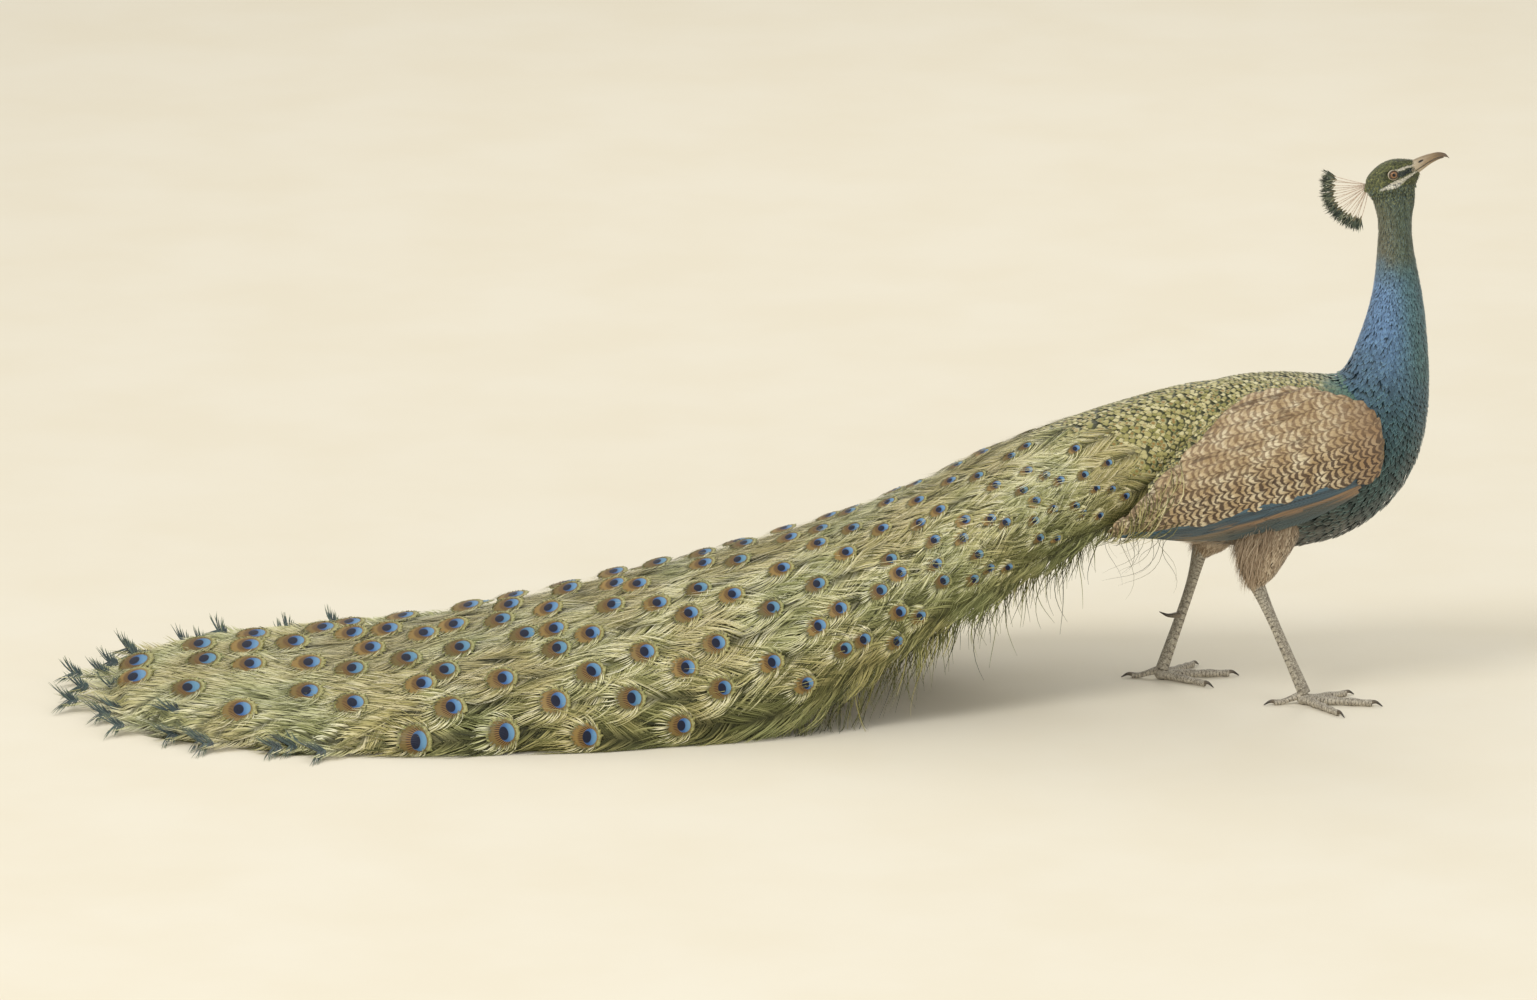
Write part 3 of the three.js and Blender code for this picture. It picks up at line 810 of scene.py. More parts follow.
def jaw_rings(rows, away, count=26, arch=22, floor=8):
    at, rings = smooth_table(rows), []
    for share in np.linspace(0, 1, count):
        along, mouth, height, half = at(share)
        turn = np.linspace(0, math.pi, arch)
        out = half * np.cos(turn)
        rise = mouth + away * (0.2 + height * np.sin(turn) ** 0.92)
        inner = np.linspace(-half, half, floor + 2)[1:-1]
        dip = mouth + away * (0.2 + 0.12 * height * (1 - (inner / half) ** 2))
        if away > 0:
            forward, upward = (along - 45) / 3.6, ((rise - mouth) / max(height, 1) - 0.62) / 0.16
            slit = np.exp(-(forward**2)) * np.exp(-(upward**2))
            out = out * (1 - 0.2 * slit)
        rings.append(head_point(along, np.r_[out, inner], np.r_[rise, dip]))
    return rings


paint = Paint("bill horn", roughness=0.36, specular=0.5)
_, x, y, z = paint.place()
along, up = head_axes(x, z)
lines = paint.join(along * 0.12, y, up * 1.6).noise(0.9, 3.0, 0.6)
tone = along.between(30.0, 82.0).shades((0.0, "B9AC93"), (0.3, "A08D72"), (0.7, "8C7759"), (1.0, "5E4E3C"))
tone = tone.tint("5A4A39", lines.between(0.45, 0.7), 0.45)
ridge = up.between(6.0, 11.0)
tone = tone.tint("7F6C50", ridge, 0.35)
# Painted shade: the nostril slit is painted near black for the shade inside its opening.
hole = ((along - 45.0) / 4.2) ** 2.0 + ((up - 4.9) / 1.3) ** 2.0
tone = paint.mix(hole.between(1.1, 0.6), tone, "17120D")
paint.bump(lines, 0.12, 0.0004)
bill_finish = paint.finish(tone, lines * 0.2 + 0.26)
for name, table, away in (("bill_upper", UPPER_BILL, 1), ("bill_lower", LOWER_BILL, -1)):
    dress(as_piece(f"{name}_horn", bridge_rings(jaw_rings(table, away))), bill_finish, [name])

# %% [markdown]
# ## Eyes and lids
# The eyeball is a sphere whose front bulges a little, as a cornea does. The iris and pupil are drawn by the
# angle from the line of sight, which each vertex carries, and a clear coat gives the wet highlight. The
# lids are a soft ring that hugs the ball, longer than it is high, so that the eye looks out of the head and
# not stuck on it.

# %% Eyeballs
def eye_axes(side):
    """The line of sight, and the directions to the front and up at a right angle to it."""
    along, out, up = unit(np.array([0.24, side, 0.08]))
    c, s = math.cos(HEAD_TILT), math.sin(HEAD_TILT)
    gaze = np.array([along * c - up * s, out, along * s + up * c])
    front = np.array([c, 0, s]) - gaze * (gaze @ np.array([c, 0, s]))
    front /= np.linalg.norm(front)
    return gaze, front, np.cross(front, gaze) * -side


paint = Paint("eye", roughness=0.25, specular=0.15, coat=0.7, coat_roughness=0.02)
angle, around, _ = paint.vane()
streaks = paint.join(around * 9.0, angle * 3.0, 0.0).noise(2.2, 3.0, 0.6)
iris = streaks.shades((0.3, "3C271A"), (0.5, "694A34"), (0.7, "9A7B58"))
iris = paint.mix(angle.between(0.16, 0.21), paint.mix(0.4, iris, "B98C5E"), iris)
rim = paint.mix(angle.between(0.245, 0.265), iris, "2A1A12")
tone = paint.mix(angle.between(0.105, 0.095), rim, "050403")
eye_finish = paint.finish(paint.mix(angle.between(0.27, 0.3), tone, "C9C0AE"))
for name, side in SIDES.items():
    gaze, front, upward = eye_axes(side)
    ball = bmesh.new()
    bmesh.ops.create_uvsphere(ball, u_segments=40, v_segments=28, radius=1.0)
    centre, values = head_point(EYE_ALONG, side * EYE_OUT, EYE_RISE), []
    for vertex in ball.verts:
        x, y, z = vertex.co
        angle = math.acos(max(-1, min(1, z)))
        bulge = 1 + 0.07 * max(0, math.cos(min(angle / 0.7, 1) * math.pi / 2))
        place = centre + (front * x + upward * y + gaze * z) * EYE_RADIUS * bulge
        vertex.co = Vector(to_frame(place))
        values.append((angle / math.pi, (math.atan2(y, x) / math.pi + 1) / 2, 0))
    bmesh.ops.recalc_face_normals(ball, faces=ball.faces)
    finished(f"eyeball_{name}", ball, values, eye_finish, [f"eye_{name}"])

# %% Lids
LID_INNER, LID_OUTER = 38, 84
LID = [
    (LID_INNER, 0.15), (41, 0.6), (47, 0.95), (56, 0.9), (68, 0.5), (LID_OUTER, 0.0), (LID_OUTER, -1.4),
    (46, -1.1),
]  # degrees from the line of sight, height over the ball
paint = Paint("lid skin", roughness=0.5, specular=0.4)
here, *_ = paint.place()
fine = here.noise(1.6, 3.0, 0.6)
angle, *_ = paint.vane()
tone = fine.shades((0.35, "B7AC94"), (0.65, "E2DAC6"))
tone = paint.mix(angle.between(0.36, 0.2), tone, "4E4234")
paint.bump(fine, 0.4, 0.0004)
lid_finish = paint.finish(tone)
for name, side in SIDES.items():
    gaze, front, upward = eye_axes(side)
    centre = head_point(EYE_ALONG, side * EYE_OUT, EYE_RISE)
    rings, values = [], []
    for turn in np.linspace(0, 2 * math.pi, 44, endpoint=False):
        ring = []
        for degrees, high in LID:
            polar = math.radians(degrees * (1 + 0.12 * math.cos(turn) ** 2 - 0.05 * max(0, math.sin(turn))))
            flat = front * math.cos(turn) + upward * math.sin(turn)
            ring.append(centre + (gaze * math.cos(polar) + flat * math.sin(polar)) * (EYE_RADIUS + high))
            values.append(((degrees - LID_INNER) / (LID_OUTER - LID_INNER), turn / FULL_TURN, 0))
        rings.append(np.array(ring))
    finished(f"lids_{name}", bridge_rings(rings, closed=True), values, lid_finish)

# %% [markdown]
# ## Feathers of the head and neck
# A peacock's head and neck wear thousands of tiny, close feathers. They are laid in staggered rows from the
# bill backwards and down the neck, each row under the one before it, and they grow longer towards the
# breast. None grows on the eye, the bill or the bare white skin, so roots that fall there are dropped.

# %% Finish of the body feathers
def body_feather_finish(name, dark, light, edge=0.5):
    paint = Paint(name, roughness=0.52, specular=0.35, sheen=0.25)
    _, marks = whole_marks(paint)
    across, along, tone = paint.vane()
    side = abs(across)
    root = along.between(0.62, 0.25)
    base = paint.mix(root * 0.75, marks, dark)
    # Painted sheen: each feather's edges and tip are drawn towards a lighter shade, by its own tone.
    rim = side.between(0.55, 0.95).calc("MAXIMUM", along.between(0.82, 0.97))
    rim = rim * (tone * 0.7 + 0.1)
    base = base.tint(light, rim, edge)
    shaft = side.between(0.16, 0.04) * 0.3
    base = paint.mix(shaft, base, dark)
    shift = tone * 0.5 + 0.75
    base = paint.mix(1.0, base, paint.join(shift, shift, shift), blend="MULTIPLY")
    barbs = ((along + side * 0.35) * 42.0).calc("SINE")
    paint.bump(barbs, 0.25, 0.0003)
    return paint.finish(base)


head_feathers = body_feather_finish("head feathers", "1F2417", "A9AC6C", 0.45)
neck_feathers = body_feather_finish("neck feathers", "1B2C38", "8FB3BE", 0.5)
breast_feathers = body_feather_finish("breast feathers", "14201F", "7FA7A6", 0.5)

# %% Seat the roots on the skin
def seat(form, share, angle):
    """How far each root must rise to stand at the coat's depth, and which roots are near the skin."""
    surface = form.surface(share, angle)
    depth, spots = coat_depth(surface[:, 2]), to_frame(surface)
    lift = np.empty(len(spots))
    for i, spot in enumerate(spots):
        place, facing, _, _ = skin_tree.find_nearest(Vector(spot))
        lift[i] = depth[i] - (Vector(spot) - place).dot(facing) * 1000
    return np.clip(lift, -9, 6), (lift < 6.5) & (lift > -9)


ALL_ROUND = (-math.pi, math.pi)
small = feather_pattern(3, 3, tip=0.35)
rng = np.random.default_rng(7)
share, angle = rows_on(CROWN, 0.0, 0.985, 2.0, 1.8, *ALL_ROUND, 0.12, 3)
spots = to_frame(head_surface(share, angle))
along, out, up = head_frame(spots)
gap_to_eye = np.hypot((along - EYE_ALONG) / 1.12, up - EYE_RISE)
cheek_half = np.interp(along, [-19, -8, 6, 16, 34], [0.8, 4.0, 4.4, 2.4, 0.8])
cheek_line, brow_line = np.interp(along, [-20, 2, 34], [-3.4, -5.8, -4.6]), 10.0 - (along - 10) * 0.22
bare = (np.abs(up - cheek_line) < cheek_half) & (along > -18) & (along < 34) & (np.abs(out) > 7)
bare |= (np.abs(up - brow_line) < 1.6) & (along > 10) & (np.abs(out) > 6)
raised, keep = seat(CROWN, share, angle)
keep &= (gap_to_eye > 8.6) & ~bare
length = np.interp(along, [-30, 0, 30], [6.5, 5.0, 3.2]) * rng.uniform(0.85, 1.2, len(share))
length = np.where(along > 30, np.minimum(length, 2.6), length)
flow = rng.normal(0, 0.16, len(share))
head_coat = Coat()
vaned(head_coat, CROWN, share, angle, length, length * 0.25, small, (-0.8, 0.9), flow, 1, keep, raised=raised)
head_coat.piece("head_coat", head_feathers, "head_feathers")

# %% Neck, breast and belly
stations = [0, 0.3, 0.45, 0.58, 0.75, 1]
row_gaps, side_gaps = [9.5, 8.5, 6.2, 3.9, 3.0, 2.5], [7.5, 6.6, 5.2, 3.5, 2.7, 2.2]
share, angle = rows_on(BODY, 0.06, 1.03, (stations, row_gaps), (stations, side_gaps), *ALL_ROUND, 0.14, 5)


def crowding(share, angle, at_angle):
    """How long one share is at each root, next to its length at one angle; short ones need fewer feathers."""
    return stretch(body_surface, share, angle)[0] / stretch(body_surface, share, at_angle)[0]


x, _, z = body_surface(share, angle).T
mantle = (np.abs(angle) < np.interp(share, [0.3, 0.43], [1.7, 1.0])) & (share < 0.425)
raised, near = seat(BODY, share, angle)
keep = (rng.random(len(share)) < crowding(share, angle, math.pi / 2)) & near & ~mantle
size = np.interp(share, [0, 0.2, 0.4, 0.55, 0.7, 1], [24, 21, 15, 11, 7.5, 5.6])
size *= rng.uniform(0.85, 1.15, len(share))
wide = size * np.interp(share, [0, 0.4, 0.7, 1], [0.22, 0.25, 0.23, 0.24])
turn = rng.normal(0, 0.13, len(share))
neck_coat, breast_coat = Coat(), Coat()
on_neck = z + 0.3 * (x - 62) > 452
medium = feather_pattern(3, 4, tip=0.3)
for coat, pattern, lift, seed, part in (
    (neck_coat, small, (-1.2, 1.2), 2, on_neck),
    (breast_coat, medium, (-2.4, 1.4), 3, ~on_neck),
):
    part = keep & part
    vaned(
        coat, BODY, share, angle, size, wide, pattern, lift, turn, seed, part, span=ALL_ROUND, raised=raised
    )
    print("feathers laid:", part.sum())
neck_coat.piece("neck_coat", neck_feathers, "neck_feathers")
breast_coat.piece("breast_coat", breast_feathers, "breast_feathers")

# %% [markdown]
# ## Golden scales of the back
# From the nape's end to the root of the train the back is covered with broad, round feathers, each
# gold-green with a dark edge and a coppery heart, so that the back looks scaled. They are larger than the
# neck's, so each one shows its own pattern, which is drawn in the feather's own coordinates.

# %% Back scales
paint = Paint("back scales", roughness=0.45, specular=0.45, sheen=0.2)
here, x, *_ = paint.place()
across, along, tone = paint.vane()
side = abs(across)
far = (side * 0.92).calc("MAXIMUM", along)
gold = tone.shades((0.0, "8E8A48"), (0.35, "B8AE70"), (0.7, "E2D9A8"), (1.0, "7E8C4E"))
barb_lines = ((along - side * 0.5) * 46.0).calc("SINE")
gold = paint.mix(barb_lines.between(0.1, 1.0), gold, paint.mix(0.35, gold, "5C6A34"))
heart = (side ** 2.0 + ((along - 0.74) / 0.34) ** 2.0).calc("SQRT")
gold = gold.tint("3A3D1A", heart.between(0.5, 0.95), 0.95)
gold = gold.tint("94793F", (tone - 0.7).between(0.0, 0.1), heart.between(0.7, 0.2))
gold = gold.tint("33361C", along.between(0.5, 0.25), 0.85)
edge = far.between(0.84, 0.97)
wander = here.noise(0.05, 2.0) * 30.0
neckwards = (x + wander).between(20.0, 72.0)
gold = paint.mix(neckwards, gold, paint.mix(edge, "567A6E", "22393C"))
paint.bump(barb_lines, 0.3, 0.0004)
scale_finish = paint.finish(gold)

round_scale = feather_pattern(5, 5, tip=0.3, root=0.5)
scales = Coat()
share, angle = rows_on(BODY, 0.03, 0.45, 6.6, 6.4, -1.75, 1.75, 0.16, 11)
size = np.interp(share, [0, 0.2, 0.45], [15, 14, 9]) * rng.uniform(0.85, 1.12, len(share))
keep = rng.random(len(share)) < 1.2 * crowding(share, angle, 0.0)
keep &= np.abs(angle) < np.interp(share, [0.3, 0.44], [1.75, 1.05])
vaned(
    scales, BODY, share, angle, size, size * 0.36, round_scale, (-2.5, 2.0),
    rng.normal(0, 0.08, len(share)), 4, keep, 0.008, (-1.8, 1.8), band=(0.0, 0.38),
)


def scale_limit(share):
    """The angle on the train up to which it wears scales; eyes begin below it."""
    return 1.5 - 7.5 * share


share, angle = rows_on(TRAIN_TOP, -0.1, 0.2, 7.2, 6.8, -1.55, 1.55, 0.2, 12)
size = rng.uniform(13, 18.5, len(share))
keep = np.abs(angle) < scale_limit(share) + rng.normal(0.12, 0.06, len(share))
ramp = np.interp(share, [-0.1, -0.05, 0.0], [-15.0, -6.0, 0.0])
vaned(
    scales, TRAIN_TOP, share, angle, size, size * 0.36, round_scale, (-1.0, 2.6),
    rng.normal(0, 0.08, len(share)), 5, keep, 0.008, (-1.6, 1.6), ramp, (0.4, 0.78),
)
TUCKED = {"right": 3.0, "left": 14.0}  # how deep each wing's upper edge lies among the feathers of the back


def tuck(name, share, down):
    near_edge = np.clip(1 - down / 0.35, 0, 1)
    return -TUCKED[name] * near_edge * np.interp(share, [0, 0.1, 0.6, 0.8], [0.5, 1, 1, 0])


for name in SIDES:
    share, down = rows_on(WINGS[name], 0.1, 0.78, 7, 6.5, -0.2, 0.2, 0.18, 13)
    edge_at = rng.normal(0.02, 0.02, len(share))
    share, down = share[down < edge_at], down[down < edge_at]
    size = rng.uniform(11, 16, len(share))
    settle = -1.5 + 26 * down + tuck(name, share, down)
    band = (0.8, 0.88) if name == "right" else (0.9, 0.99)
    vaned(
        scales, WINGS[name], share, down, size, size * 0.38, round_scale, (-2.0, 1.8), 0.0, 6, None, 0.008,
        (-0.3, 0.1), settle, band,
    )
scales.piece("back_scales", scale_finish, "back_feathers")

# %% [markdown]
# ## Folded wings
# Each folded wing is a shell with a bed under its feathers. The coverts start small and round at the
# shoulder and grow long and narrow towards the rear; all are buff with wavy brown bars, darker on the
# lowest rows. The closed flight feathers show as a slate-blue band below a slanting line, edged with
# cinnamon.

# %% Wing beds
FLIGHT_LINE = (112, 338, -262, 227)  # front x and z, rear x and z
LINE_SLOPE = (FLIGHT_LINE[1] - FLIGHT_LINE[3]) / (FLIGHT_LINE[0] - FLIGHT_LINE[2])


def above_line(x, z):
    """How far a place lies above the line, for numbers and for the values of a finish alike."""
    return z - (x * LINE_SLOPE + (FLIGHT_LINE[1] - FLIGHT_LINE[0] * LINE_SLOPE))


paint = Paint("wing bed", roughness=0.7, specular=0.2)
here, x, _, z = paint.place()
grain = here.noise(0.2, 3.0, 0.6)
bed = paint.mix(above_line(x, z).between(-3, 3), "33434D", "8A7557")
paint.bump(grain, 0.4, 0.001)
wing_bed_finish = paint.finish(paint.mix(grain.between(0.35, 0.65), paint.mix(0.5, bed, "2B221A"), bed))
for name in SIDES:
    nodes = [f"wing_{name}_coverts", f"wing_{name}_flight"]
    bed = melted_copy(f"wing_{name}_bed", nodes, 0.003, 3)
    points, facing = read_points(bed.data)
    x, y, z = (points - DATUM).T * 1000
    share = np.interp(-x, -wing_rows(np.linspace(0, 1, 60))[:, 0], np.linspace(0, 1, 60))
    _, middle, high, half, top, low = wing_rows(share).T
    down = (np.degrees(np.arctan2(np.abs(y) / half, (z - middle) / high)) - top) / (low - top)
    points = points - facing * 0.0022
    points[:, 2] += tuck(name, share, down) * 1.6 / 1000
    bed.data.vertices.foreach_set("co", points.ravel())
    bed.data.update()
    dress(bed, wing_bed_finish, nodes)

# %% Barred coverts
paint = Paint("wing coverts", roughness=0.58, specular=0.3, sheen=0.15)
here, x, y, z = paint.place()
across, along, tone = paint.vane()
side = abs(across)
above = above_line(x, z) + (tone - 0.5) * 16.0
low = above.between(85, 20)
wave = here.noise(0.05, 2.0) - 0.5
along_wing = x * 0.959 + z * 0.285
across_wing = z * 0.959 - x * 0.285
# Painted shade: long dark streaks on the rear of the wing stand for the shade in the gaps between its rows.
streaks = paint.join(along_wing * 0.12, across_wing, y).noise(0.13, 2.0)
streaks = streaks.between(0.57, 0.68) * x.between(60, -30)
lane = across_wing / 13.0 + wave * 0.8
lane_side = abs(lane.calc("FRACT") - 0.5)
lane_shift = paint.join(lane.calc("FLOOR") * 5.3, 0.5, 0.5).noise(1.0, 1.0)
phase = along_wing / 10.0
fleck = here.noise(0.45, 2.0, 0.6)
scallop = lane_side * lane_side
for part, weight in ((scallop, -2.4), (lane_shift, 3.0), (side, 0.2), (wave, 1.2), (tone, 0.3), (fleck, 0.4)):
    phase = phase + part * weight
thick = (here.noise(0.12, 2.0) - 0.5) * 2.2
wave_height = (phase * (2 * math.pi)).calc("SINE") + thick
bars = wave_height.between(-0.45, 0.55)
cream = here.noise(0.05, 2.0).shades((0.32, "AC936D"), (0.5, "C5B08C"), (0.68, "E0D3B4"))
front = (x + wave * 60.0).between(20, 95)
cream = cream.tint("8C6A48", front, 0.7)
brown = paint.mix(low, "7A6046", "46352A")
brown = paint.mix(x.between(-150, -250), brown, "7A6750")
strong = 0.7 + low * 0.22
base = paint.mix(bars * strong, cream, brown)
shaft = side.between(0.1, 0.02) * 0.35
base = paint.mix(shaft, base, "5C4A38")
base = base.tint("6A5640", along.between(0.5, 0.15), 0.6)
edge = side.between(0.78, 1.0) * (tone * 0.45 + 0.3)
base = paint.mix(edge, base, "493626")
# Painted shade: dark seams between the lanes of rows, where one row overlaps the next; both marks are mixed
# in below.
row_gap_shade = lane_side.between(0.38, 0.49) * x.between(110, 20)
streaks = (streaks * 0.62).calc("MAXIMUM", row_gap_shade * 0.45)
base = paint.mix(streaks, base, "4A3829")
fibre = ((along - side * 0.4) * 90.0).calc("SINE")
paint.bump(fibre, 0.2, 0.0003)
covert_finish = paint.finish(base)

paint = Paint("flight feathers", roughness=0.42, specular=0.4, sheen=0.1)
_, x, _, z = paint.place()
across, along, tone = paint.vane()
side = abs(across)
below = (6.0 - above_line(x, z)) / 62.0
below = below + (tone - 0.5) * 0.16
bands = below.shades(
    (0.0, "4F6F80"), (0.1, "425F70"), (0.18, "2D3A43"), (0.29, "405866"), (0.36, "323F47"),
    (0.42, "8A6C4A"), (0.48, "86694B"), (0.56, "4A4A42"), (0.75, "35474A"), (1.0, "4A5048"),
)
rear = below.shades(
    (0.0, "4E7082"), (0.18, "324149"), (0.36, "44545C"), (0.5, "7C6A4E"), (0.7, "565548"), (1.0, "6B6A62")
)
base = paint.mix(x.between(-60, -150), bands, rear)
base = base.tint("1E2A33", side.between(0.8, 1.0), 0.7)
base = base.tint("20262A", side.between(0.12, 0.02), 0.5)
fibre = ((along - side * 0.12) * 160.0).calc("SINE")
base = base.tint("9FB4BE", fibre.between(0.3, 1.0), 0.15)
paint.bump(fibre, 0.2, 0.0003)
flight_finish = paint.finish(base)

# %% Lay the wing feathers
covert_pattern = feather_pattern(7, 10, tip=0.25, root=0.55)
flight_pattern = feather_pattern(5, 16, tip=0.2, root=0.6)
stations = [0, 0.25, 0.6, 1]
for name, side in SIDES.items():
    form = WINGS[name]
    rng = np.random.default_rng(21 if side < 0 else 22)
    row_gaps, side_gaps = (stations, [9, 11, 17, 24]), (stations, [9, 10.5, 12.5, 13])
    share, down = rows_on(form, 0.02, 0.9, row_gaps, side_gaps, 0.0, 1.0, 0.05, 31)
    x, _, z = form.surface(share, down).T
    off = above_line(x, z)
    length = np.interp(share, stations, [24, 31, 52, 74]) * rng.uniform(0.92, 1.08, len(share))
    wide = np.interp(share, stations, [7.2, 8.2, 9.6, 9.0])
    room = (262 + x) / np.maximum(length, 1)
    length = np.where(room < 0.8, np.maximum(length * room * 1.2, 18), length)
    coverts = Coat()
    turn, lowered = rng.normal(0, 0.05, len(share)), tuck(name, share, down)
    vaned(
        coverts, form, share, down, length, wide, covert_pattern, (-1.6, 2.4), turn, 33, off > -2, 0.03,
        (0, 1), lowered,
    )
    coverts.piece(f"wing_{name}_covert_feathers", covert_finish, "wing_coverts")
    share, down = rows_on(form, 0.05, 0.8, 30, 7.5, 0.3, 1.0, 0.12, 35)
    x, _, z = form.surface(share, down).T
    off = above_line(x, z)
    length = np.minimum(105.0 * rng.uniform(0.85, 1.1, len(share)), x + 268)
    half, turn, keep = np.full(len(share), 6.5), rng.normal(0, 0.02, len(share)), (off < 0) & (length > 35)
    flights = Coat()
    vaned(flights, form, share, down, length, half, flight_pattern, (-1.6, 1.4), turn, 36, keep, 0.02, (0, 1))
    flights.piece(f"wing_{name}_flight_feathers", flight_finish, "wing_flight")

# %% [markdown]
# ## The train
# The train is not the tail: it is about two hundred long upper tail coverts that lie over one another like
# tiles. Each has a bare shaft with loose barbs to both sides and, near its tip, one eye. A dark bed is made
# first as a loft, a little smaller than the whole train. The eyes are then set out in staggered rows, small
# ones first and larger ones towards the end, and each gets its barbs.

# %% Bed of the train
def train_rings(inset, count):
    rings = []
    for share in np.linspace(0.0, 1.0, count):
        top_x, top_z, edge_x, edge_z, half, drift = train_rows(share)
        under = max(edge_z, 0)
        turn = np.linspace(-math.pi / 2, math.pi / 2, 41)
        crown = np.cos(turn)
        wide = half - inset
        top = max(top_z - inset, under + 4)
        x = edge_x + (top_x - edge_x) * crown
        arch = side_by_side(x, drift + wide * np.sin(turn), under + 2.5 + (top - under - 2.5) * crown)
        back = np.linspace(math.pi / 2, -math.pi / 2, 15)
        low = side_by_side(edge_x, drift + wide * np.sin(back) * 0.995, under + 0.4)
        rings.append(np.vstack([arch, low]))
    return rings


paint = Paint("train bed", roughness=0.8, specular=0.2)
_, x, y, z = paint.place()
strands = paint.join(x * 0.05, y * 0.9, z * 0.9).noise(0.5, 3.0, 0.6, 0.6)
# Painted shade: the bed's dark olive stands for the deeper layers of plumes in shade, showing between the
# barbs.
tone = strands.shades((0.3, "2B2A17"), (0.5, "4C4A28"), (0.65, "6F6D3C"), (0.8, "8E8B52"))
paint.bump(strands, 0.6, 0.0015)
train_bed_finish = paint.finish(tone)
bed = as_piece("train_bed", bridge_rings(train_rings(7, 110)))
dress(bed, train_bed_finish, [f"train_{k}" for k in range(1, 6)])

# %% Where the eyes sit
ARCH = (-1.6, 1.6)  # from one edge of the train over its crest to the other
EYE_GAPS = [
    (-230, 32, 19), (-454, 43, 28), (-700, 59, 37), (-990, 67, 43), (-1360, 75, 48), (-1600, 75, 48)
]  # x; gap, length
gap_x = [-row[0] for row in EYE_GAPS]
walk = np.linspace(0, 1, 300)
crest_x = -train_rows(walk)[:, 0]


def gap_at(share, column=1):
    return np.interp(np.interp(share, walk, crest_x), gap_x, [row[column] for row in EYE_GAPS])


plume_share, plume_angle = rows_on(
    TRAIN_TOP, 0.035, 0.965, gap_at, lambda s: gap_at(s) * 1.24, *ARCH, 0.14, 41
)
plume_keep = np.abs(plume_angle) > scale_limit(plume_share)
plume_share, plume_angle = plume_share[plume_keep], plume_angle[plume_keep]
plume_gap, plume_eye = gap_at(plume_share), gap_at(plume_share, column=2) * 1.22
has_eye = (np.abs(plume_angle) < 1.5) & (plume_share < 0.945)


def held(share, angle):
    """Shares and angles kept a little inside the train's ends and edges."""
    return np.clip(share, 0.01, 0.97), np.clip(angle, -1.5, 1.5)


def outward_turn(share, angle):
    """Near its end the train opens like a fan, so its plumes turn away from the middle line."""
    _, _, forward, sideways, _ = TRAIN_TOP.frame_at(*held(share, angle))
    spot = train_surface(share, angle)
    wish = unit(side_by_side(spot[:, 0] + 620, (spot[:, 1] + 30) * 1.15, 0))
    turn = np.arctan2((wish * sideways).sum(-1), (wish * forward).sum(-1))
    return turn * np.interp(share, [0.5, 0.8], [0, 1])


plume_turn = np.random.default_rng(43).normal(0, 0.1, len(plume_share))
plume_turn += outward_turn(plume_share, plume_angle)
print("plumes on the train:", len(plume_share), "with an eye:", int(has_eye.sum()))

# %% [markdown]
# ## Eyes of the train
# One eye is a shallow disc of rings and spokes. Its rim is drawn in and out, so that it frays into barbs.
# The blue, bronze and pale rings are painted by the disc's own coordinates, which makes every eye sharp at
# any distance.

# %% The eyes
paint = Paint("train eyes", roughness=0.42, specular=0.3)
here, *_ = paint.place()
across, along, tone = paint.vane()


def oval(at, wide, long):
    u = across / wide
    v = (along - at) / long
    return (u * u + v * v).calc("SQRT")


spokes = (across.calc("ARCTAN2", along + 0.75) * 64.0).calc("SINE")
fray = (here.noise(0.5, 2.0) - 0.5) * 0.3
green = tone.shades((0.0, "A8A561"), (0.5, "C0BB7C"), (1.0, "9AA36A"))
base = paint.mix(spokes.between(-0.3, 0.6) * 0.75, green, "4C4A26")
outer = oval(0.1, 0.93, 0.9) + fray
pale = paint.mix(spokes.between(0.0, 0.9) * 0.6, "D2C992", "6E6438")
base = base.tint(pale, outer.between(1.0, 0.9), 0.8)
green_ring = (oval(0.08, 0.84, 0.82) + fray).between(1.0, 0.92)
base = base.tint("7F8A4A", green_ring, 0.6)
bronze = paint.mix(spokes.between(-0.4, 0.6), "86683A", "3E2A1C")
bronze = paint.mix(oval(-0.05, 0.6, 0.5).between(0.8, 1.1), bronze, paint.mix(tone, "9A7E48", "665A32"))
base = paint.mix((oval(0.06, 0.76, 0.74) + fray).between(1.0, 0.9), base, bronze)
blue = paint.mix(along.between(-0.1, -0.5), "355F9A", "6D9AC0")
blue = blue.tint("5F8F96", tone.between(0.6, 0.9), 0.35)
base = paint.mix(oval(-0.2, 0.46, 0.38).between(1.03, 0.92), base, blue)
base = paint.mix(oval(-0.04, 0.33, 0.23).between(1.08, 0.92), base, "0F1730")
paint.bump(spokes, 0.25, 0.0004)
eye_spot_finish = paint.finish(base)

SPOKES, RINGS = 36, 6
ray, ring = np.meshgrid(np.arange(SPOKES), np.arange(1, RINGS + 1))
reach = (ring / RINGS).astype(float)
reach[-1] *= np.where(np.arange(SPOKES) % 2, 1.0, 0.8) * (0.92 + 0.08 * np.cos(np.arange(SPOKES) * 2.4))
spot_across = np.r_[0.0, (reach * np.sin(ray * 2 * math.pi / SPOKES)).ravel()]
spot_along = np.r_[0.0, (reach * np.cos(ray * 2 * math.pi / SPOKES)).ravel()]
index = lambda ring, ray: 1 + ring * SPOKES + ray % SPOKES
spot_faces = [(0, index(0, k), index(0, k + 1)) for k in range(SPOKES)]
for r in range(RINGS - 1):
    for k in range(SPOKES):
        spot_faces.append((index(r, k), index(r + 1, k), index(r + 1, k + 1)))
        spot_faces.append((index(r, k), index(r + 1, k + 1), index(r, k + 1)))
spot_faces = np.array(spot_faces)[:, ::-1]
eye_share, eye_angle, eye_turn, eye_size = (
    values[has_eye] for values in (plume_share, plume_angle, plume_turn, plume_eye)
)
half_long = eye_size[:, None] / 2
cup = 1 - (spot_across**2 + spot_along**2)
rim = np.ones((len(eye_share), len(spot_across)))
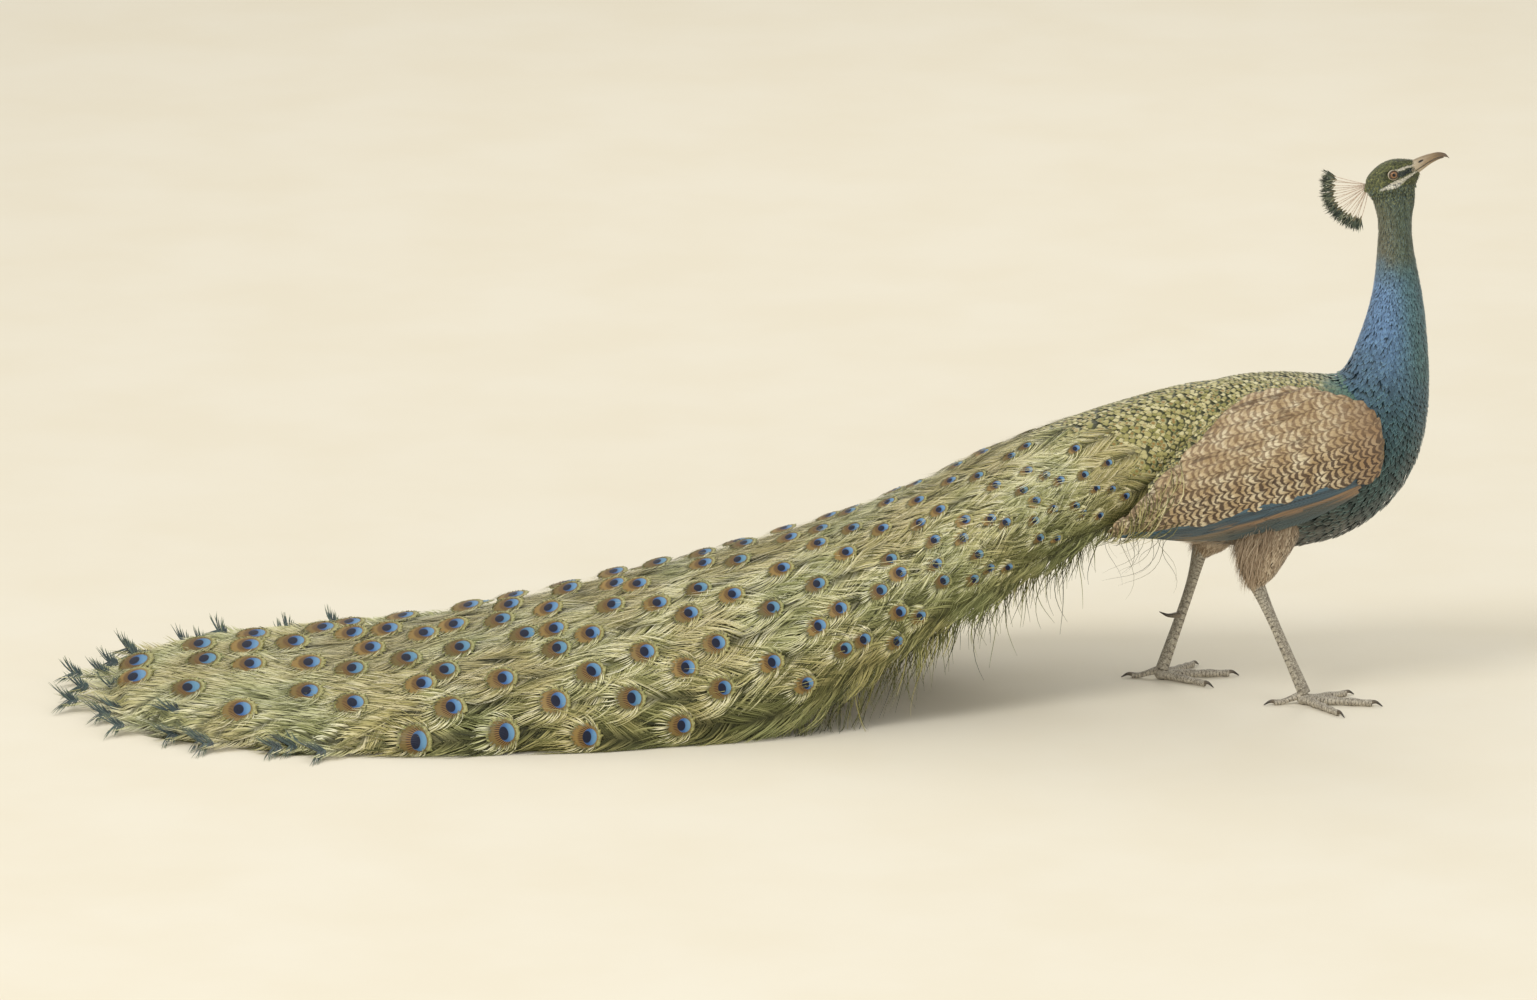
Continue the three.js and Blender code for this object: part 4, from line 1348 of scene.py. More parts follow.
rim[:, -SPOKES:] = np.random.default_rng(8).uniform(0.84, 1.1, (len(eye_share), SPOKES))
half_wide = half_long * np.interp(eye_share, [0.3, 0.6], [0.78, 0.9])[:, None]
facing_side = np.interp(eye_angle, [-1.5, -1.0, 0.3, 0.9, 1.4], [0.06, 0.22, 0.32, 0.1, -0.15])
eye_tilt = (facing_side * np.interp(eye_share, [0.2, 0.55], [0.25, 1.0]))[:, None]
height = 3.2 + 0.05 * eye_size[:, None] * cup[None] + np.random.default_rng(5).random((len(eye_share), 1))
height = height - eye_tilt * half_wide * spot_across[None] + np.abs(eye_tilt) * half_wide * 0.8
ahead, aside = half_long * spot_along[None] * rim, half_wide * spot_across[None] * rim
eye_points = TRAIN_TOP.lay(eye_share, eye_angle, ahead, aside, height, eye_turn)
eye_points[..., 2] = np.maximum(eye_points[..., 2], 1.0)
columns = math.ceil(math.sqrt(len(eye_share)))
order = np.arange(len(eye_share))
corner = (side_by_side(order % columns, order // columns)[:, None] + 0.5) / columns
eye_patch = corner + side_by_side(spot_across, spot_along) * 0.46 / columns
eyes = Coat()
eye_tone = np.random.default_rng(6).random(len(eye_share))
eyes.add(eye_points, spot_faces, spot_across, spot_along, eye_tone, patch=eye_patch)
eyes.piece("train_eyes", eye_spot_finish, "train_feathers")

# %% [markdown]
# ## Barbs of the train
# A barb is a thin ribbon that leaves the shaft at a wide angle and bends back along it. Each plume shows as
# much of its length as its gap to the next row, and its shaft sinks as it goes back towards the rump, so
# that the plumes lie over one another. The barbs of neighbouring plumes cross, which gives the hair-like
# look of the train.

# %% Barbs
OVER_FLOOR = 0.8  # millimetres that every ribbon keeps above the floor
paint = Paint("train barbs", roughness=0.5, specular=0.3, sheen=0.05)
here, x, *_ = paint.place()
_, along, tone = paint.vane()
drift = here.noise(0.008, 2.0)
barb = tone.shades((0.0, "34361C"), (0.24, "6A6C3C"), (0.45, "BAB77B"), (0.66, "ECE7B6"), (1.0, "FFFBDC"))
lit = tone.between(0.1, 0.5)
barb = barb.tint("B9A263", drift.between(0.45, 0.65), lit * 0.4)
barb = barb.tint("7E9460", drift.between(0.5, 0.35), lit * 0.3)
# Painted shade: every barb darkens towards its root by the shaft, where the plumes above shade it.
barb = barb.tint("34341B", along.between(0.4, 0.0), 0.8)
far = x.between(-1150, -1500)
barb = barb.tint("9DA080", far, 0.2)
strand_finish = paint.finish(barb)


def ribbon_grid(steps):
    """The faces between the two edges of a ribbon, and the edge that each of its points is on."""
    quads = [(2 * i, 2 * i + 1, 2 * i + 3, 2 * i + 2) for i in range(steps - 1)]
    return np.array(quads), np.tile([-1.0, 1.0], steps)


def ribbon(length, leave, half, steps, wave, phase, bend=0.8):
    """How far ahead and aside (N, 2 * steps) ribbons reach that leave a shaft and bend back, then their
    faces, the edge that each point is on and its place along."""
    along = np.linspace(0, 1, steps)
    aim = leave[:, None] * (1 - bend * along[None]) + wave * np.sin(along[None] * 5 + phase[:, None])
    step = length[:, None] / (steps - 1)
    heading = (aim[:, 1:] + aim[:, :-1]) / 2
    thick = np.broadcast_to(half, length.shape)[:, None] * (1 - 0.85 * along[None] ** 3)
    edges = []
    for walk_on, across in ((np.cos, -np.sin(aim)), (np.sin, np.cos(aim))):
        middle = np.pad(np.cumsum(walk_on(heading) * step, 1), ((0, 0), (1, 0)))
        edges.append(side_by_side(middle - across * thick, middle + across * thick).reshape(len(length), -1))
    return *edges, *ribbon_grid(steps), np.repeat(along, 2)


def barbs(
    coat, form, share, angle, side, length, leave, half, lift, tone, steps, wave, phase, turn,
    band=(0.0, 1.0),
):
    """Ribbons laid on a form, each to its own side of the shaft; neighbours wave together, by phase."""
    ahead, aside, quads, across, along = ribbon(length, leave, half, steps, wave, phase)
    rise = lift[0][:, None] + (lift[1] - lift[0])[:, None] * along
    points = form.lay(share, angle, ahead, aside * np.broadcast_to(side, share.shape)[:, None], rise, turn)
    points[..., 2] = np.maximum(points[..., 2], OVER_FLOOR)
    far = np.linalg.norm(points - points[:, :1], axis=-1).max(1)
    step = np.linalg.norm(np.diff(points[:, ::2], axis=1), axis=-1).max(1)
    sound = (far < 1.25 * length + 4) & (step < 2.0 * length / (steps - 1) + 2)
    u = shelf(angle, (0.0, 1.0))
    coat.add(points[sound], quads, across, along, tone[sound], u[sound], shelf(share, band)[sound])


def tones(rng, mean, spread, count):
    return np.clip(rng.normal(mean, spread, count), 0, 1)


PER_SIDE = 88
rng = np.random.default_rng(51)
count = len(plume_share)
place = np.tile(np.linspace(-1.0, 0.2, PER_SIDE), count * 2) + rng.normal(0, 0.008, count * 2 * PER_SIDE)
number = np.repeat(np.arange(count), 2 * PER_SIDE)
side = np.tile(np.repeat([-1.0, 1.0], PER_SIDE), count)
gap = plume_gap[number]
shaft = place * gap * 1.9
mm_per_share = stretch(train_surface, *held(plume_share, plume_angle))[0]
mm_per_angle = stretch(train_surface, plume_share, np.clip(plume_angle, -1.5, 1.5))[1]
root_share = plume_share[number] + shaft * (np.cos(plume_turn) / mm_per_share)[number]
root_angle = plume_angle[number] - shaft * (np.sin(plume_turn) / np.maximum(mm_per_angle, 60))[number]
clump = np.sin(place * 33 + number * 1.7 + side) * np.sin(place * 13 + number)
stroke = rng.normal(0, 1, (count * 2, PER_SIDE // 3 + 1)).repeat(3, 1)[:, :PER_SIDE].ravel()
single, whole = rng.normal(0, 0.06, len(number)), rng.normal(0, 0.1, count)[number]
tone = np.clip(0.57 + 0.25 * stroke + single + whole + 0.14 * clump, 0, 1)
# Painted shade: strands towards the train's two lower edges get darker, for the shade along its sides.
tone *= np.interp(np.abs(root_angle), [1.0, 1.45], [1.0, 0.45])
near = np.clip((place + 1) / 1.2, 0, 1)
length = gap * rng.uniform(0.85, 1.15, len(number)) * np.interp(near, [0, 0.75, 1], [1.05, 1.0, 0.62]) + 6
leave = np.interp(near, [0, 0.8, 1], [0.85, 0.78, 0.3]) * rng.uniform(0.9, 1.1, len(number)) + 0.1 * clump
loose = 7 * rng.random(len(number)) ** 6
lift = (
    0.2 + 2.2 * near + 0.8 * rng.random(len(number)),
    0.9 + 2.6 * near + 2.2 * rng.random(len(number)) + loose,
)
half = np.interp(gap, [29, 75], [0.36, 0.6]) * rng.uniform(0.75, 1.2, len(number))
part = np.searchsorted([0.22, 0.45], plume_share[number])
for k, name in enumerate(("front", "middle", "rear")):
    keep = part == k
    laid = [values[keep] for values in (root_share, root_angle, side, length, leave, half)]
    rise, phase = (lift[0][keep], lift[1][keep]), (place * 4 + number)[keep]
    coat = Coat()
    barbs(coat, TRAIN_TOP, *laid, rise, tone[keep], 6, 0.16, phase, plume_turn[number][keep])
    coat.piece(f"train_barbs_{name}", strand_finish, "train_feathers")

# %% A darker layer below
rng = np.random.default_rng(54)
row_gaps, side_gaps = (lambda s: gap_at(s) * 0.8), (lambda s: gap_at(s) * 0.9)
low_share, low_angle = rows_on(TRAIN_TOP, 0.06, 0.985, row_gaps, side_gaps, *ARCH, 0.3, 45)
wanted = np.abs(low_angle) > scale_limit(low_share) - 0.2
low_share, low_angle = low_share[wanted], low_angle[wanted]
low_turn = outward_turn(low_share, low_angle) + rng.normal(0, 0.16, len(low_share))
LOW_SIDE = 26
number = np.repeat(np.arange(len(low_share)), LOW_SIDE * 2)
place = np.tile(np.linspace(-1, 0.1, LOW_SIDE), len(low_share) * 2)
side = np.tile(np.repeat([-1.0, 1.0], LOW_SIDE), len(low_share))
mm_per_share = stretch(train_surface, *held(low_share, low_angle))[0]
gap = gap_at(low_share)[number]
count = len(number)
root_share = low_share[number] + place * gap * 1.3 / mm_per_share[number]
length, leave = gap * rng.uniform(0.9, 1.3, count) + 6, rng.uniform(0.5, 0.9, count)
lift = rng.uniform(-2.5, -1.0, count), rng.uniform(-1.5, 1.2, count)
# Painted shade: the layer below gets dark tones, a shaded copy of the barbs that lie over it.
tone, phase = tones(rng, 0.22, 0.12, count), place * 5 + number
coat = Coat()
barbs(
    coat, TRAIN_TOP, root_share, low_angle[number], side, length, leave, 0.7, lift, tone, 5, 0.2, phase,
    low_turn[number],
)
coat.piece("train_barbs_under", strand_finish, "train_feathers")

# %% Eye fringes and the soft cover beside the rump
ray_of = np.linspace(-2.6, 2.6, 52)
number = np.repeat(np.arange(len(eye_share)), len(ray_of))
ray = np.tile(ray_of, len(eye_share)) + rng.normal(0, 0.06, len(number))
size = eye_size[number]
mm_per_share, mm_per_angle = stretch(train_surface, *held(eye_share, eye_angle))
to_share, to_angle = 1 / mm_per_share[number], 1 / np.maximum(mm_per_angle[number], 50)
inset = rng.uniform(0.27, 0.41, len(number)) * size
squash = (half_wide / half_long)[number, 0]
ahead, aside = 0.03 * size + inset * np.cos(ray), squash * inset * np.sin(ray)
tilted = -eye_tilt[number, 0] * aside + np.abs(eye_tilt[number, 0]) * squash * size * 0.4
turn = eye_turn[number]
root_share = eye_share[number] + (ahead * np.cos(turn) - aside * np.sin(turn)) * to_share
root_angle = eye_angle[number] - (ahead * np.sin(turn) + aside * np.cos(turn)) * to_angle
length = size * rng.uniform(0.3, 0.52, len(number))
tone = tones(rng, 0.62, 0.24, len(number))
lift = 4.3 + 0.03 * size + tilted, 2.8 + 2 * rng.random(len(number)) + 0.5 * tilted
leave, half = np.abs(ray) * 0.62, 0.3 + 0.005 * size
fringe = Coat()
barbs(
    fringe, TRAIN_TOP, root_share, root_angle, np.sign(ray), length, leave, half, lift, tone, 5, 0.08, ray,
    turn, (0.0, 0.6),
)


def hairs(coat, form, share, angle, rng, side, length, leave, half, low, high, tone, wave, beat, band):
    """Loose hairs. Pairs of numbers are the ends to draw between; a side of 0 stands for either side."""
    count = len(share)
    if not np.any(side):
        side = np.where(rng.random(count) < 0.5, -1.0, 1.0)
    length, leave, *lift = (rng.uniform(*ends, count) for ends in (length, leave, low, high))
    draw, *ends = tone
    tone = np.clip(draw(*ends, count), 0, 1)
    barbs(coat, form, share, angle, side, length, leave, half, lift, tone, 6, wave, share * beat, 0.0, band)


soft_share, soft_angle = rows_on(TRAIN_TOP, -0.05, 0.13, 6, 2.6, *ARCH, 0.3, 58)
soft = np.abs(soft_angle) > scale_limit(soft_share) - 0.25
hairs(
    fringe, TRAIN_TOP, soft_share[soft], soft_angle[soft], rng, 0, (24, 52), (0, 0.35), 0.45, (-1, 0.5),
    (0.5, 3.5), (rng.normal, 0.42, 0.2), 0.15, 40, (0.62, 0.74),
)
for name, side in SIDES.items():
    share, down = rows_on(WINGS[name], 0.7, 0.985, 3.2, 7.5, -0.12, 0.8, 0.4, 59)
    chance = np.interp(share, [0.7, 0.82, 0.95], [0.1, 0.55, 1.0]) * np.interp(down, [0.0, 0.8], [1.0, 0.5])
    fall = rng.random(len(share)) < chance
    hairs(
        fringe, WINGS[name], share[fall], down[fall], rng, -side, (30, 72), (0.7, 1.2), 0.5, (1, 3), (3, 7),
        (rng.normal, 0.36, 0.22), 0.12, 90, (0.76, 0.86) if side > 0 else (0.88, 0.99),
    )
fringe.piece("train_soft_cover", strand_finish, "train_feathers")

# %% [markdown]
# ## Fish-tail plumes, fringe and true tail
# The longest plumes carry no eye. They end in a dark crescent like a fish's tail and spread in a fan on the
# floor. Along the lower edges of the train loose strands hang down. Both are ribbons too, but placed freely
# in space: the barbs run along straight shafts, and the strands fall in gentle curves until they meet the
# floor.

# %% Fish-tail plumes
PLUME_CENTRE, PLUME_REACH, PLUME_SPREAD, PLUME_LENGTH = (-1170, -32), (374, 250), 84, 114
MAIN, MORE, INNER, INMOST = 15, 30, 22, 18  # plumes in each row of the fan
main_turn = np.radians(np.linspace(-PLUME_SPREAD, PLUME_SPREAD, MAIN))
main_length = PLUME_LENGTH * np.where(np.arange(MAIN) % 2, 0.82, 1.0)
more_turn = np.radians(np.linspace(-PLUME_SPREAD, PLUME_SPREAD, MORE))
inner_turn = np.radians(np.r_[np.linspace(-80, 80, INNER), np.linspace(-76, 76, INMOST)])
plume_heading = np.r_[main_turn, more_turn, inner_turn]
plume_long = np.r_[
    main_length, PLUME_LENGTH * np.random.default_rng(61).uniform(0.3, 0.8, MORE), np.full(INNER, 50.0),
    np.full(INMOST, 40.0),
]
plume_lift = np.r_[np.zeros(MAIN), np.random.default_rng(64).uniform(0, 2.5, MORE), np.ones(INNER + INMOST)]
pull = np.r_[np.ones(MAIN + MORE), np.full(INNER, 0.9), np.full(INMOST, 0.76)]
rim = side_by_side(-np.cos(plume_heading), np.sin(plume_heading))
base = PLUME_CENTRE + pull[:, None] * PLUME_REACH * rim
lean = np.sin(plume_heading) * 0.5
ahead_of = side_by_side(-np.cos(lean), np.sin(lean))
left_of = side_by_side(-ahead_of[:, 1], ahead_of[:, 0])
climb = np.radians(2 + 7 * (1 + np.sin(plume_heading)) / 2)
train_table = np.array(TRAIN, float)[::-1]


def train_height(x, y):
    """How high the end of the train stands above the floor at x, y; a little above it outside."""
    columns = ((1, 8.0), (4, 20.0), (5, -24.0))
    top, half, drift = (np.interp(x, train_table[:, 0], train_table[:, k], left=end) for k, end in columns)
    arch = 1 - np.clip((y - drift) / np.maximum(half, 1), -1, 1) ** 2
    return TRAIN_EDGE * 0.3 + np.maximum(top - TRAIN_EDGE, 0) * np.sqrt(arch)


def plume_points(number, ahead, aside, lift):
    along, across = ahead[..., None] * ahead_of[number][:, None], aside[..., None] * left_of[number][:, None]
    flat = base[number][:, None] + along + across
    x, y = flat[..., 0], flat[..., 1]
    climbed = np.maximum(ahead, 0) * np.sin(climb[number])[:, None] * 0.8
    high = train_height(x, y) + climbed + lift + plume_lift[number][:, None]
    return side_by_side(x, y, np.maximum(high, OVER_FLOOR))


def plume_coat(
    name, plumes, per_side, place_from, place_to, length_range, leave_range, half, finish, dark, seed, bend,
    roll,
):
    """Barbs to both sides of plumes; a start below -20 counts from the plume's root, others from its tip."""
    rng = np.random.default_rng(seed)
    total = len(plumes)
    number = np.repeat(plumes, per_side * 2)
    side = np.tile(np.repeat([-1.0, 1.0], per_side), total)
    share = np.tile(np.linspace(0, 1, per_side), total * 2)
    first = place_from if place_from < -20 else plume_long[number] + place_from
    start = first + (plume_long[number] + place_to - first) * share + rng.normal(0, 0.5, len(share))
    length = np.interp(share, [0, 1], length_range) * rng.uniform(0.8, 1.15, len(share))
    leave = np.interp(share, [0, 1], leave_range) * rng.uniform(0.85, 1.15, len(share))
    phase = rng.random(len(length)) * FULL_TURN
    ahead, aside, quads, across, along = ribbon(length, leave, half, 5, 0.07, phase, bend)
    aside = aside * side[:, None]
    lift = 1.0 + rng.random(len(share))[:, None] * 2.0 + 1.5 * along[None] + roll * (8 - aside)
    coat = Coat()
    points = plume_points(number, start[:, None] + ahead, aside, lift)
    stroke = rng.normal(0, 1, len(share) // 2 + 1).repeat(2)[: len(share)]
    tone = np.clip(dark + 0.22 * stroke + rng.normal(0, 0.06, len(share)), 0, 1)
    u, v = (number + share * 0.8) / len(plume_heading), 0.5 + 0.4 * side
    coat.add(points, quads, across, along, tone, u, v)
    return coat.piece(name, finish, "train_feathers")


paint = Paint("fish-tail tips", roughness=0.45, specular=0.4, sheen=0.2)
_, along, tone = paint.vane()
tip = tone.shades((0.0, "1E2628"), (0.4, "2B3B3F"), (0.7, "405450"), (1.0, "5E6A54"))
grain = (along * 70.0).calc("SINE")
paint.bump(grain, 0.15, 0.0003)
tip = tip.tint("6F8A86", grain.between(0.2, 1.0), 0.2)
tip_finish = paint.finish(paint.mix(along.between(0.55, 1.0), tip, "6E7A5C"))
tipped = np.r_[np.arange(MAIN), np.arange(MAIN + 2, MAIN + MORE, 3)]
plume_coat(
    "plume_barbs", np.arange(len(plume_heading)), 72, -90, -14, (36, 30), (0.85, 0.65), 0.7, strand_finish,
    0.56, 62, 0.5, 0.3,
)
plume_coat("plume_tips", tipped, 20, -18, -5, (10, 35), (1.0, 0.72), 0.7, tip_finish, 0.45, 63, -0.3, 0.5)

# %% Fringe below the train and hairs at the vent
rng = np.random.default_rng(71)
count = 2300
share = rng.uniform(0.05, 0.46, count)
side = np.where(np.arange(count) % 2, 1.0, -1.0)
inner = rng.uniform(0.0, 0.22, count)
start = train_surface(share, side * (math.pi / 2 - inner))
start += side_by_side(rng.normal(0, 4, count), -side * 3, -2)
length = rng.uniform(40, 108, count) * np.where(rng.random(count) < 0.17, 1.65, 1.0)
length *= np.interp(share, [0.05, 0.12, 0.3, 0.46], [0.6, 1.0, 1.0, 0.75])
vent = 26
share_vent = np.linspace(0, 1, vent)
start_vent = side_by_side(-175 - 70 * share_vent, rng.uniform(-70, 40, vent), 232 + 20 * share_vent)
start, length = np.vstack([start, start_vent]), np.r_[length, rng.uniform(60, 120, vent)]
side = np.r_[side, np.where(rng.random(vent) < 0.6, -1.0, 1.0)]
curl = np.r_[np.full(count, 0.26), np.full(vent, 0.9)]
STRAND_POINTS = 11
along = np.linspace(0, 1, STRAND_POINTS)
phase, swing = rng.random((count + vent, 1)) * FULL_TURN, rng.normal(0, 0.22, (count + vent, 1))
fall = 0.75 + 0.65 * along[None] + curl[:, None] * np.sin(along[None] * (4 + 2 * swing) + phase) + swing
step = (length / (STRAND_POINTS - 1))[:, None]
along_x = -np.cumsum(np.cos(fall) * step, 1) + np.cos(fall[:, :1]) * step
down = -np.cumsum(np.sin(fall) * step, 1) + np.sin(fall[:, :1]) * step
out = side[:, None] * (6 * along[None] + 5 * swing * along[None])
middle = start[:, None] + side_by_side(along_x, out, down)
half = np.r_[np.full(count, 0.7), np.full(vent, 0.32)][:, None, None] * (1 - 0.8 * along**2)[None, :, None]
across_x = side_by_side(np.sin(fall), 0, -np.cos(fall)) * half
points = np.stack([middle - across_x, middle + across_x], 2).reshape(count + vent, -1, 3)
points[..., 2] = np.maximum(points[..., 2], OVER_FLOOR)
fringe = Coat()
# Painted shade: the strands under the train's lower edges get very dark tones for the shade there; the vent
# hairs share them.
u, tone = np.linspace(0, 1, count + vent), tones(rng, 0.14, 0.12, count + vent)
fringe.add(points, *ribbon_grid(STRAND_POINTS), np.repeat(along, 2), tone, u, np.abs(np.sin(u * 50)))
fringe.piece("train_fringe", strand_finish, "train_feathers")

# %% The true tail
def tail_surface(share, across):
    share = np.asarray(share, float)
    rows = train_rows(0.02 + 0.28 * share)
    half = 34 + 70 * np.sqrt(np.maximum(share, 0.0))
    back = rows[..., 2] + 20 * np.clip(share, 0, 1) * across**2
    return side_by_side(back, half * across * 0.94, rows[..., 3] + 5.0)


TAIL_BELOW = Form(tail_surface, 1, 1)
paint = Paint("tail feathers", roughness=0.5, specular=0.35)
here, *_ = paint.place()
across, along, tone = paint.vane()
brown = tone.shades((0.0, "54452F"), (0.5, "6A5A42"), (1.0, "7F6C4E"))
brown = paint.mix(abs(across).between(0.14, 0.04), brown, "C4B48E")
mottle = here.noise(0.12, 3.0, 0.6)
paint.bump((along * 260.0).calc("SINE"), 0.15, 0.0003)
tail_finish = paint.finish(paint.mix(mottle.between(0.5, 0.7) * 0.5, brown, "3A3020"))
rectrices = 18
share, across = np.full(rectrices, 0.04), np.linspace(-0.9, 0.9, rectrices)
lengths = np.full(rectrices, distance_along(tail_surface(np.linspace(0, 1, 50), np.zeros(50)))[-1] * 0.95)
tail_coat = Coat()
stiff = feather_pattern(5, 20, tip=0.35, root=0.6)
for odd, low, shorter, seed in (
    (0, 0.0, 1.0, 72), (0, 1.2, 0.97, 73), (1, -2.6, 1.0, 72), (1, -1.4, 0.97, 73)
):
    pick = np.arange(rectrices) % 2 == odd
    long, half = lengths[pick] * shorter, np.full(pick.sum(), 11.0)
    vaned(
        tail_coat, TAIL_BELOW, share[pick], across[pick], long, half, stiff, (low, low), 0.0, seed, None,
        0.02, (-1, 1),
    )
tail_coat.piece("tail_fan", tail_finish, "tail_feathers", ["tail"])

# %% [markdown]
# ## The crest
# Twenty bare quills fan out from the back of the crown. Each ends in a little fan of dark green barbs, and
# together the fans make a scalloped arc. Quills lean left and right by turns, as they do when a living bird
# half closes it.

# %% Crest
QUILLS, QUILL_RINGS, QUILL_SIDES = 20, 9, 6
root = head_point(-31, 0, 5.5)
rng = np.random.default_rng(81)
turn = np.radians(np.linspace(166, 257, QUILLS))
reach = 69 - 3.5 * np.abs(np.linspace(-1, 1, QUILLS)) - 2.5 * (np.arange(QUILLS) % 2)
lean = np.where(np.arange(QUILLS) % 2, -1, 1) * math.radians(1.9)
aim = side_by_side(np.cos(turn) * np.cos(lean), np.sin(lean), np.sin(turn) * np.cos(lean))
flat = side_by_side(-np.sin(turn), 0, np.cos(turn))
along = np.linspace(0, 1, QUILL_RINGS)
bow = rng.normal(0, 0.8, QUILLS)[:, None] * np.sin(along * math.pi)[None]
spine = root + aim[:, None] * ((reach - 11)[:, None] * along)[..., None] + flat[:, None] * bow[..., None]
girth = np.radians(np.arange(QUILL_SIDES) * 360 / QUILL_SIDES)
thick = (0.62 - 0.2 * along)[None, :, None]
ring_out = flat[:, None, None] * np.cos(girth)[:, None] + np.array([0, 1, 0]) * np.sin(girth)[:, None]
points = (spine[:, :, None] + ring_out * thick[..., None]).reshape(QUILLS, -1, 3)
ring_of = np.arange(QUILL_SIDES)
next_of = np.roll(ring_of, -1)
walls = side_by_side(ring_of, next_of, QUILL_SIDES + next_of, QUILL_SIDES + ring_of).astype(int)
faces = np.vstack([QUILL_SIDES * i + walls for i in range(QUILL_RINGS - 1)])
paint = Paint("crest quills", roughness=0.5, specular=0.4)
_, along_vane, _ = paint.vane()
here, *_ = paint.place()
quill = here.noise(0.5, 2.0).shades((0.35, "BFA896"), (0.65, "E6D8C8"))
paint.bump(here.noise(1.5, 2.0), 0.2, 0.0003)
quill_finish = paint.finish(paint.mix(along_vane.between(0.2, 0.0), quill, "5A5A44"))
quills = Coat()
quills.add(
    points, faces, np.zeros(QUILL_RINGS * QUILL_SIDES), np.repeat(along, QUILL_SIDES), rng.random(QUILLS),
    np.arange(QUILLS) / QUILLS,
)
quills.piece("crest_quills", quill_finish, "crest_feathers")

BARBS = 26
number = np.repeat(np.arange(QUILLS), BARBS)
spread = rng.uniform(-1, 1, len(number))
start = reach[number] - 20 + 7 * rng.random(len(number))
length = (17 - 3.5 * np.abs(spread) ** 2) * rng.uniform(0.85, 1.05, len(number))
phase = rng.random(len(length)) * FULL_TURN
ahead, aside, quads, across, along = ribbon(length, spread * 0.62, 0.62, 5, 0.12, phase, 0.2)
ahead = start[:, None] + ahead
points = root + aim[number][:, None] * ahead[..., None] + flat[number][:, None] * aside[..., None]
points[..., 1] += np.clip(rng.normal(0, 0.7, len(number)), -1.2, 1.2)[:, None] + 0.3 * across
paint = Paint("crest fans", roughness=0.5, specular=0.4, sheen=0.3)
_, out, tone = paint.vane()
fan = tone.shades((0.0, "262E28"), (0.35, "445248"), (0.65, "69786A"), (0.85, "8E957C"), (1.0, "B4B69C"))
fan_finish = paint.finish(paint.mix(out.between(0.35, 0.05), fan, "8C8468"))
fans = Coat()
fans.add(points, quads, across, along, rng.random(len(number)), number / QUILLS, (spread + 1) / 2)
fans.piece("crest_fans", fan_finish, "crest_feathers", ["crest"])

# %% [markdown]
# ## Legs and feet
# Legs are tubes that follow their bones. Rings along the path are joined to one skin and the plates of the
# shank are pressed into it: a row of broad plates down the front and small ones behind. Toes swell at their
# joints and are flat below. The thighs wear long, loose, hair-like feathers.

# %% Tubes along a path
LEGS = {
    "right": [(-36, -54, 268), (-50, -58, 222), (-61, -60, 169), (6, -62, 19)],
    "left": [(-74, 52, 268), (-104, 56, 226), (-126, 59, 182), (-181, 62, 19)],
}  # hip, knee, hock, ankle
TOES = {
    "middle": (8, 86, 6.6, 3),
    "inner": (-34, 63, 6, 2),
    "outer": (54, 68, 6, 4),
    "hind": (172, 36, 5.2, 1),
}  # degrees, length, radius, joints
LONGEST_TOE = TOES["middle"][1]


def tube_surface(path, radius, wide=1.0):
    spine = smooth_table(path)

    def surface(share, angle):
        share, angle = np.broadcast_arrays(np.asarray(share, float), np.asarray(angle, float))
        forward = unit(spine(share + 2e-3) - spine(share - 2e-3))
        side = unit(side_by_side(-forward[..., 1], forward[..., 0], 0))
        up = np.cross(side, forward)
        girth, out, high = (part[..., None] for part in (radius(share, angle), np.cos(angle), np.sin(angle)))
        return spine(share) + side * out * girth * wide + up * high * girth

    return surface


def tube(surface, count, around, floor=None):
    turn = np.linspace(0, 2 * math.pi, around, endpoint=False)
    rings = [surface(np.full(around, share), turn) for share in np.linspace(0, 1, count)]
    if floor is not None:
        for ring in rings:
            ring[:, 2] = np.maximum(ring[:, 2], floor)
    values = [(math.cos(a), share, math.sin(a)) for share in np.linspace(0, 1, count) for a in turn]
    return bridge_rings(rings), values


def leg_finish(name, light, dark, plates, plated):
    """Bare leg skin: rows of plates that follow the limb, so the plates are read from its own coordinates."""
    paint = Paint(name, roughness=0.55, specular=0.4)
    here, *_ = paint.place()
    side, along, up = paint.vane()
    wobble = here.noise(0.35, 2.0) * 0.9
    bend = abs(side) * 0.5
    saw = (along * plates + (wobble + bend)).calc("FRACT")
    groove = saw.between(0.82, 0.96).calc("MAXIMUM", saw.between(0.12, 0.02))
    cells = paint.node("ShaderNodeTexVoronoi", here, feature="DISTANCE_TO_EDGE", dials={"Scale": 0.42})
    small = cells.between(0.14, 0.03) * 0.75
    groove = paint.mix(up.between(*plated), groove, small)
    fleck = here.noise(0.3, 3.0, 0.65)
    base = fleck.shades((0.35, dark), (0.55, light), (0.75, "D6D0C0"))
    base = base.tint("3E3832", groove, 0.8)
    paint.bump(1.0 - groove, 0.55, 0.0009)
    return paint.finish(base)


shank_finish = leg_finish("shank skin", "BBB4A4", "8A8275", 26.0, (0.25, -0.1))
toe_finish = leg_finish("toe skin", "C4BCAB", "968D7F", 17.0, (-0.45, -0.75))
paint = Paint("claw horn", roughness=0.35, specular=0.5)
here, *_ = paint.place()
_, along, _ = paint.vane()
streak = here.noise(0.4, 3.0, 0.6)
paint.bump(streak, 0.2, 0.0004)
horn = streak.shades((0.35, "6E6355"), (0.65, "8F8371"))
claw_finish = paint.finish(paint.mix(along.between(0.0, 0.9), horn, "2E2822"))
shank_radius = smooth_table([[12.0], [8.8], [7], [7.2], [8.6]])


def shank_girth(s, a):
    """The shank's radius, with broad plates pressed into its front."""
    plate = 1 + 0.018 * np.abs(np.sin(s * 26 * math.pi)) * np.clip(np.sin(a) + 0.3, 0, 1)
    return shank_radius(s)[..., 0] * plate


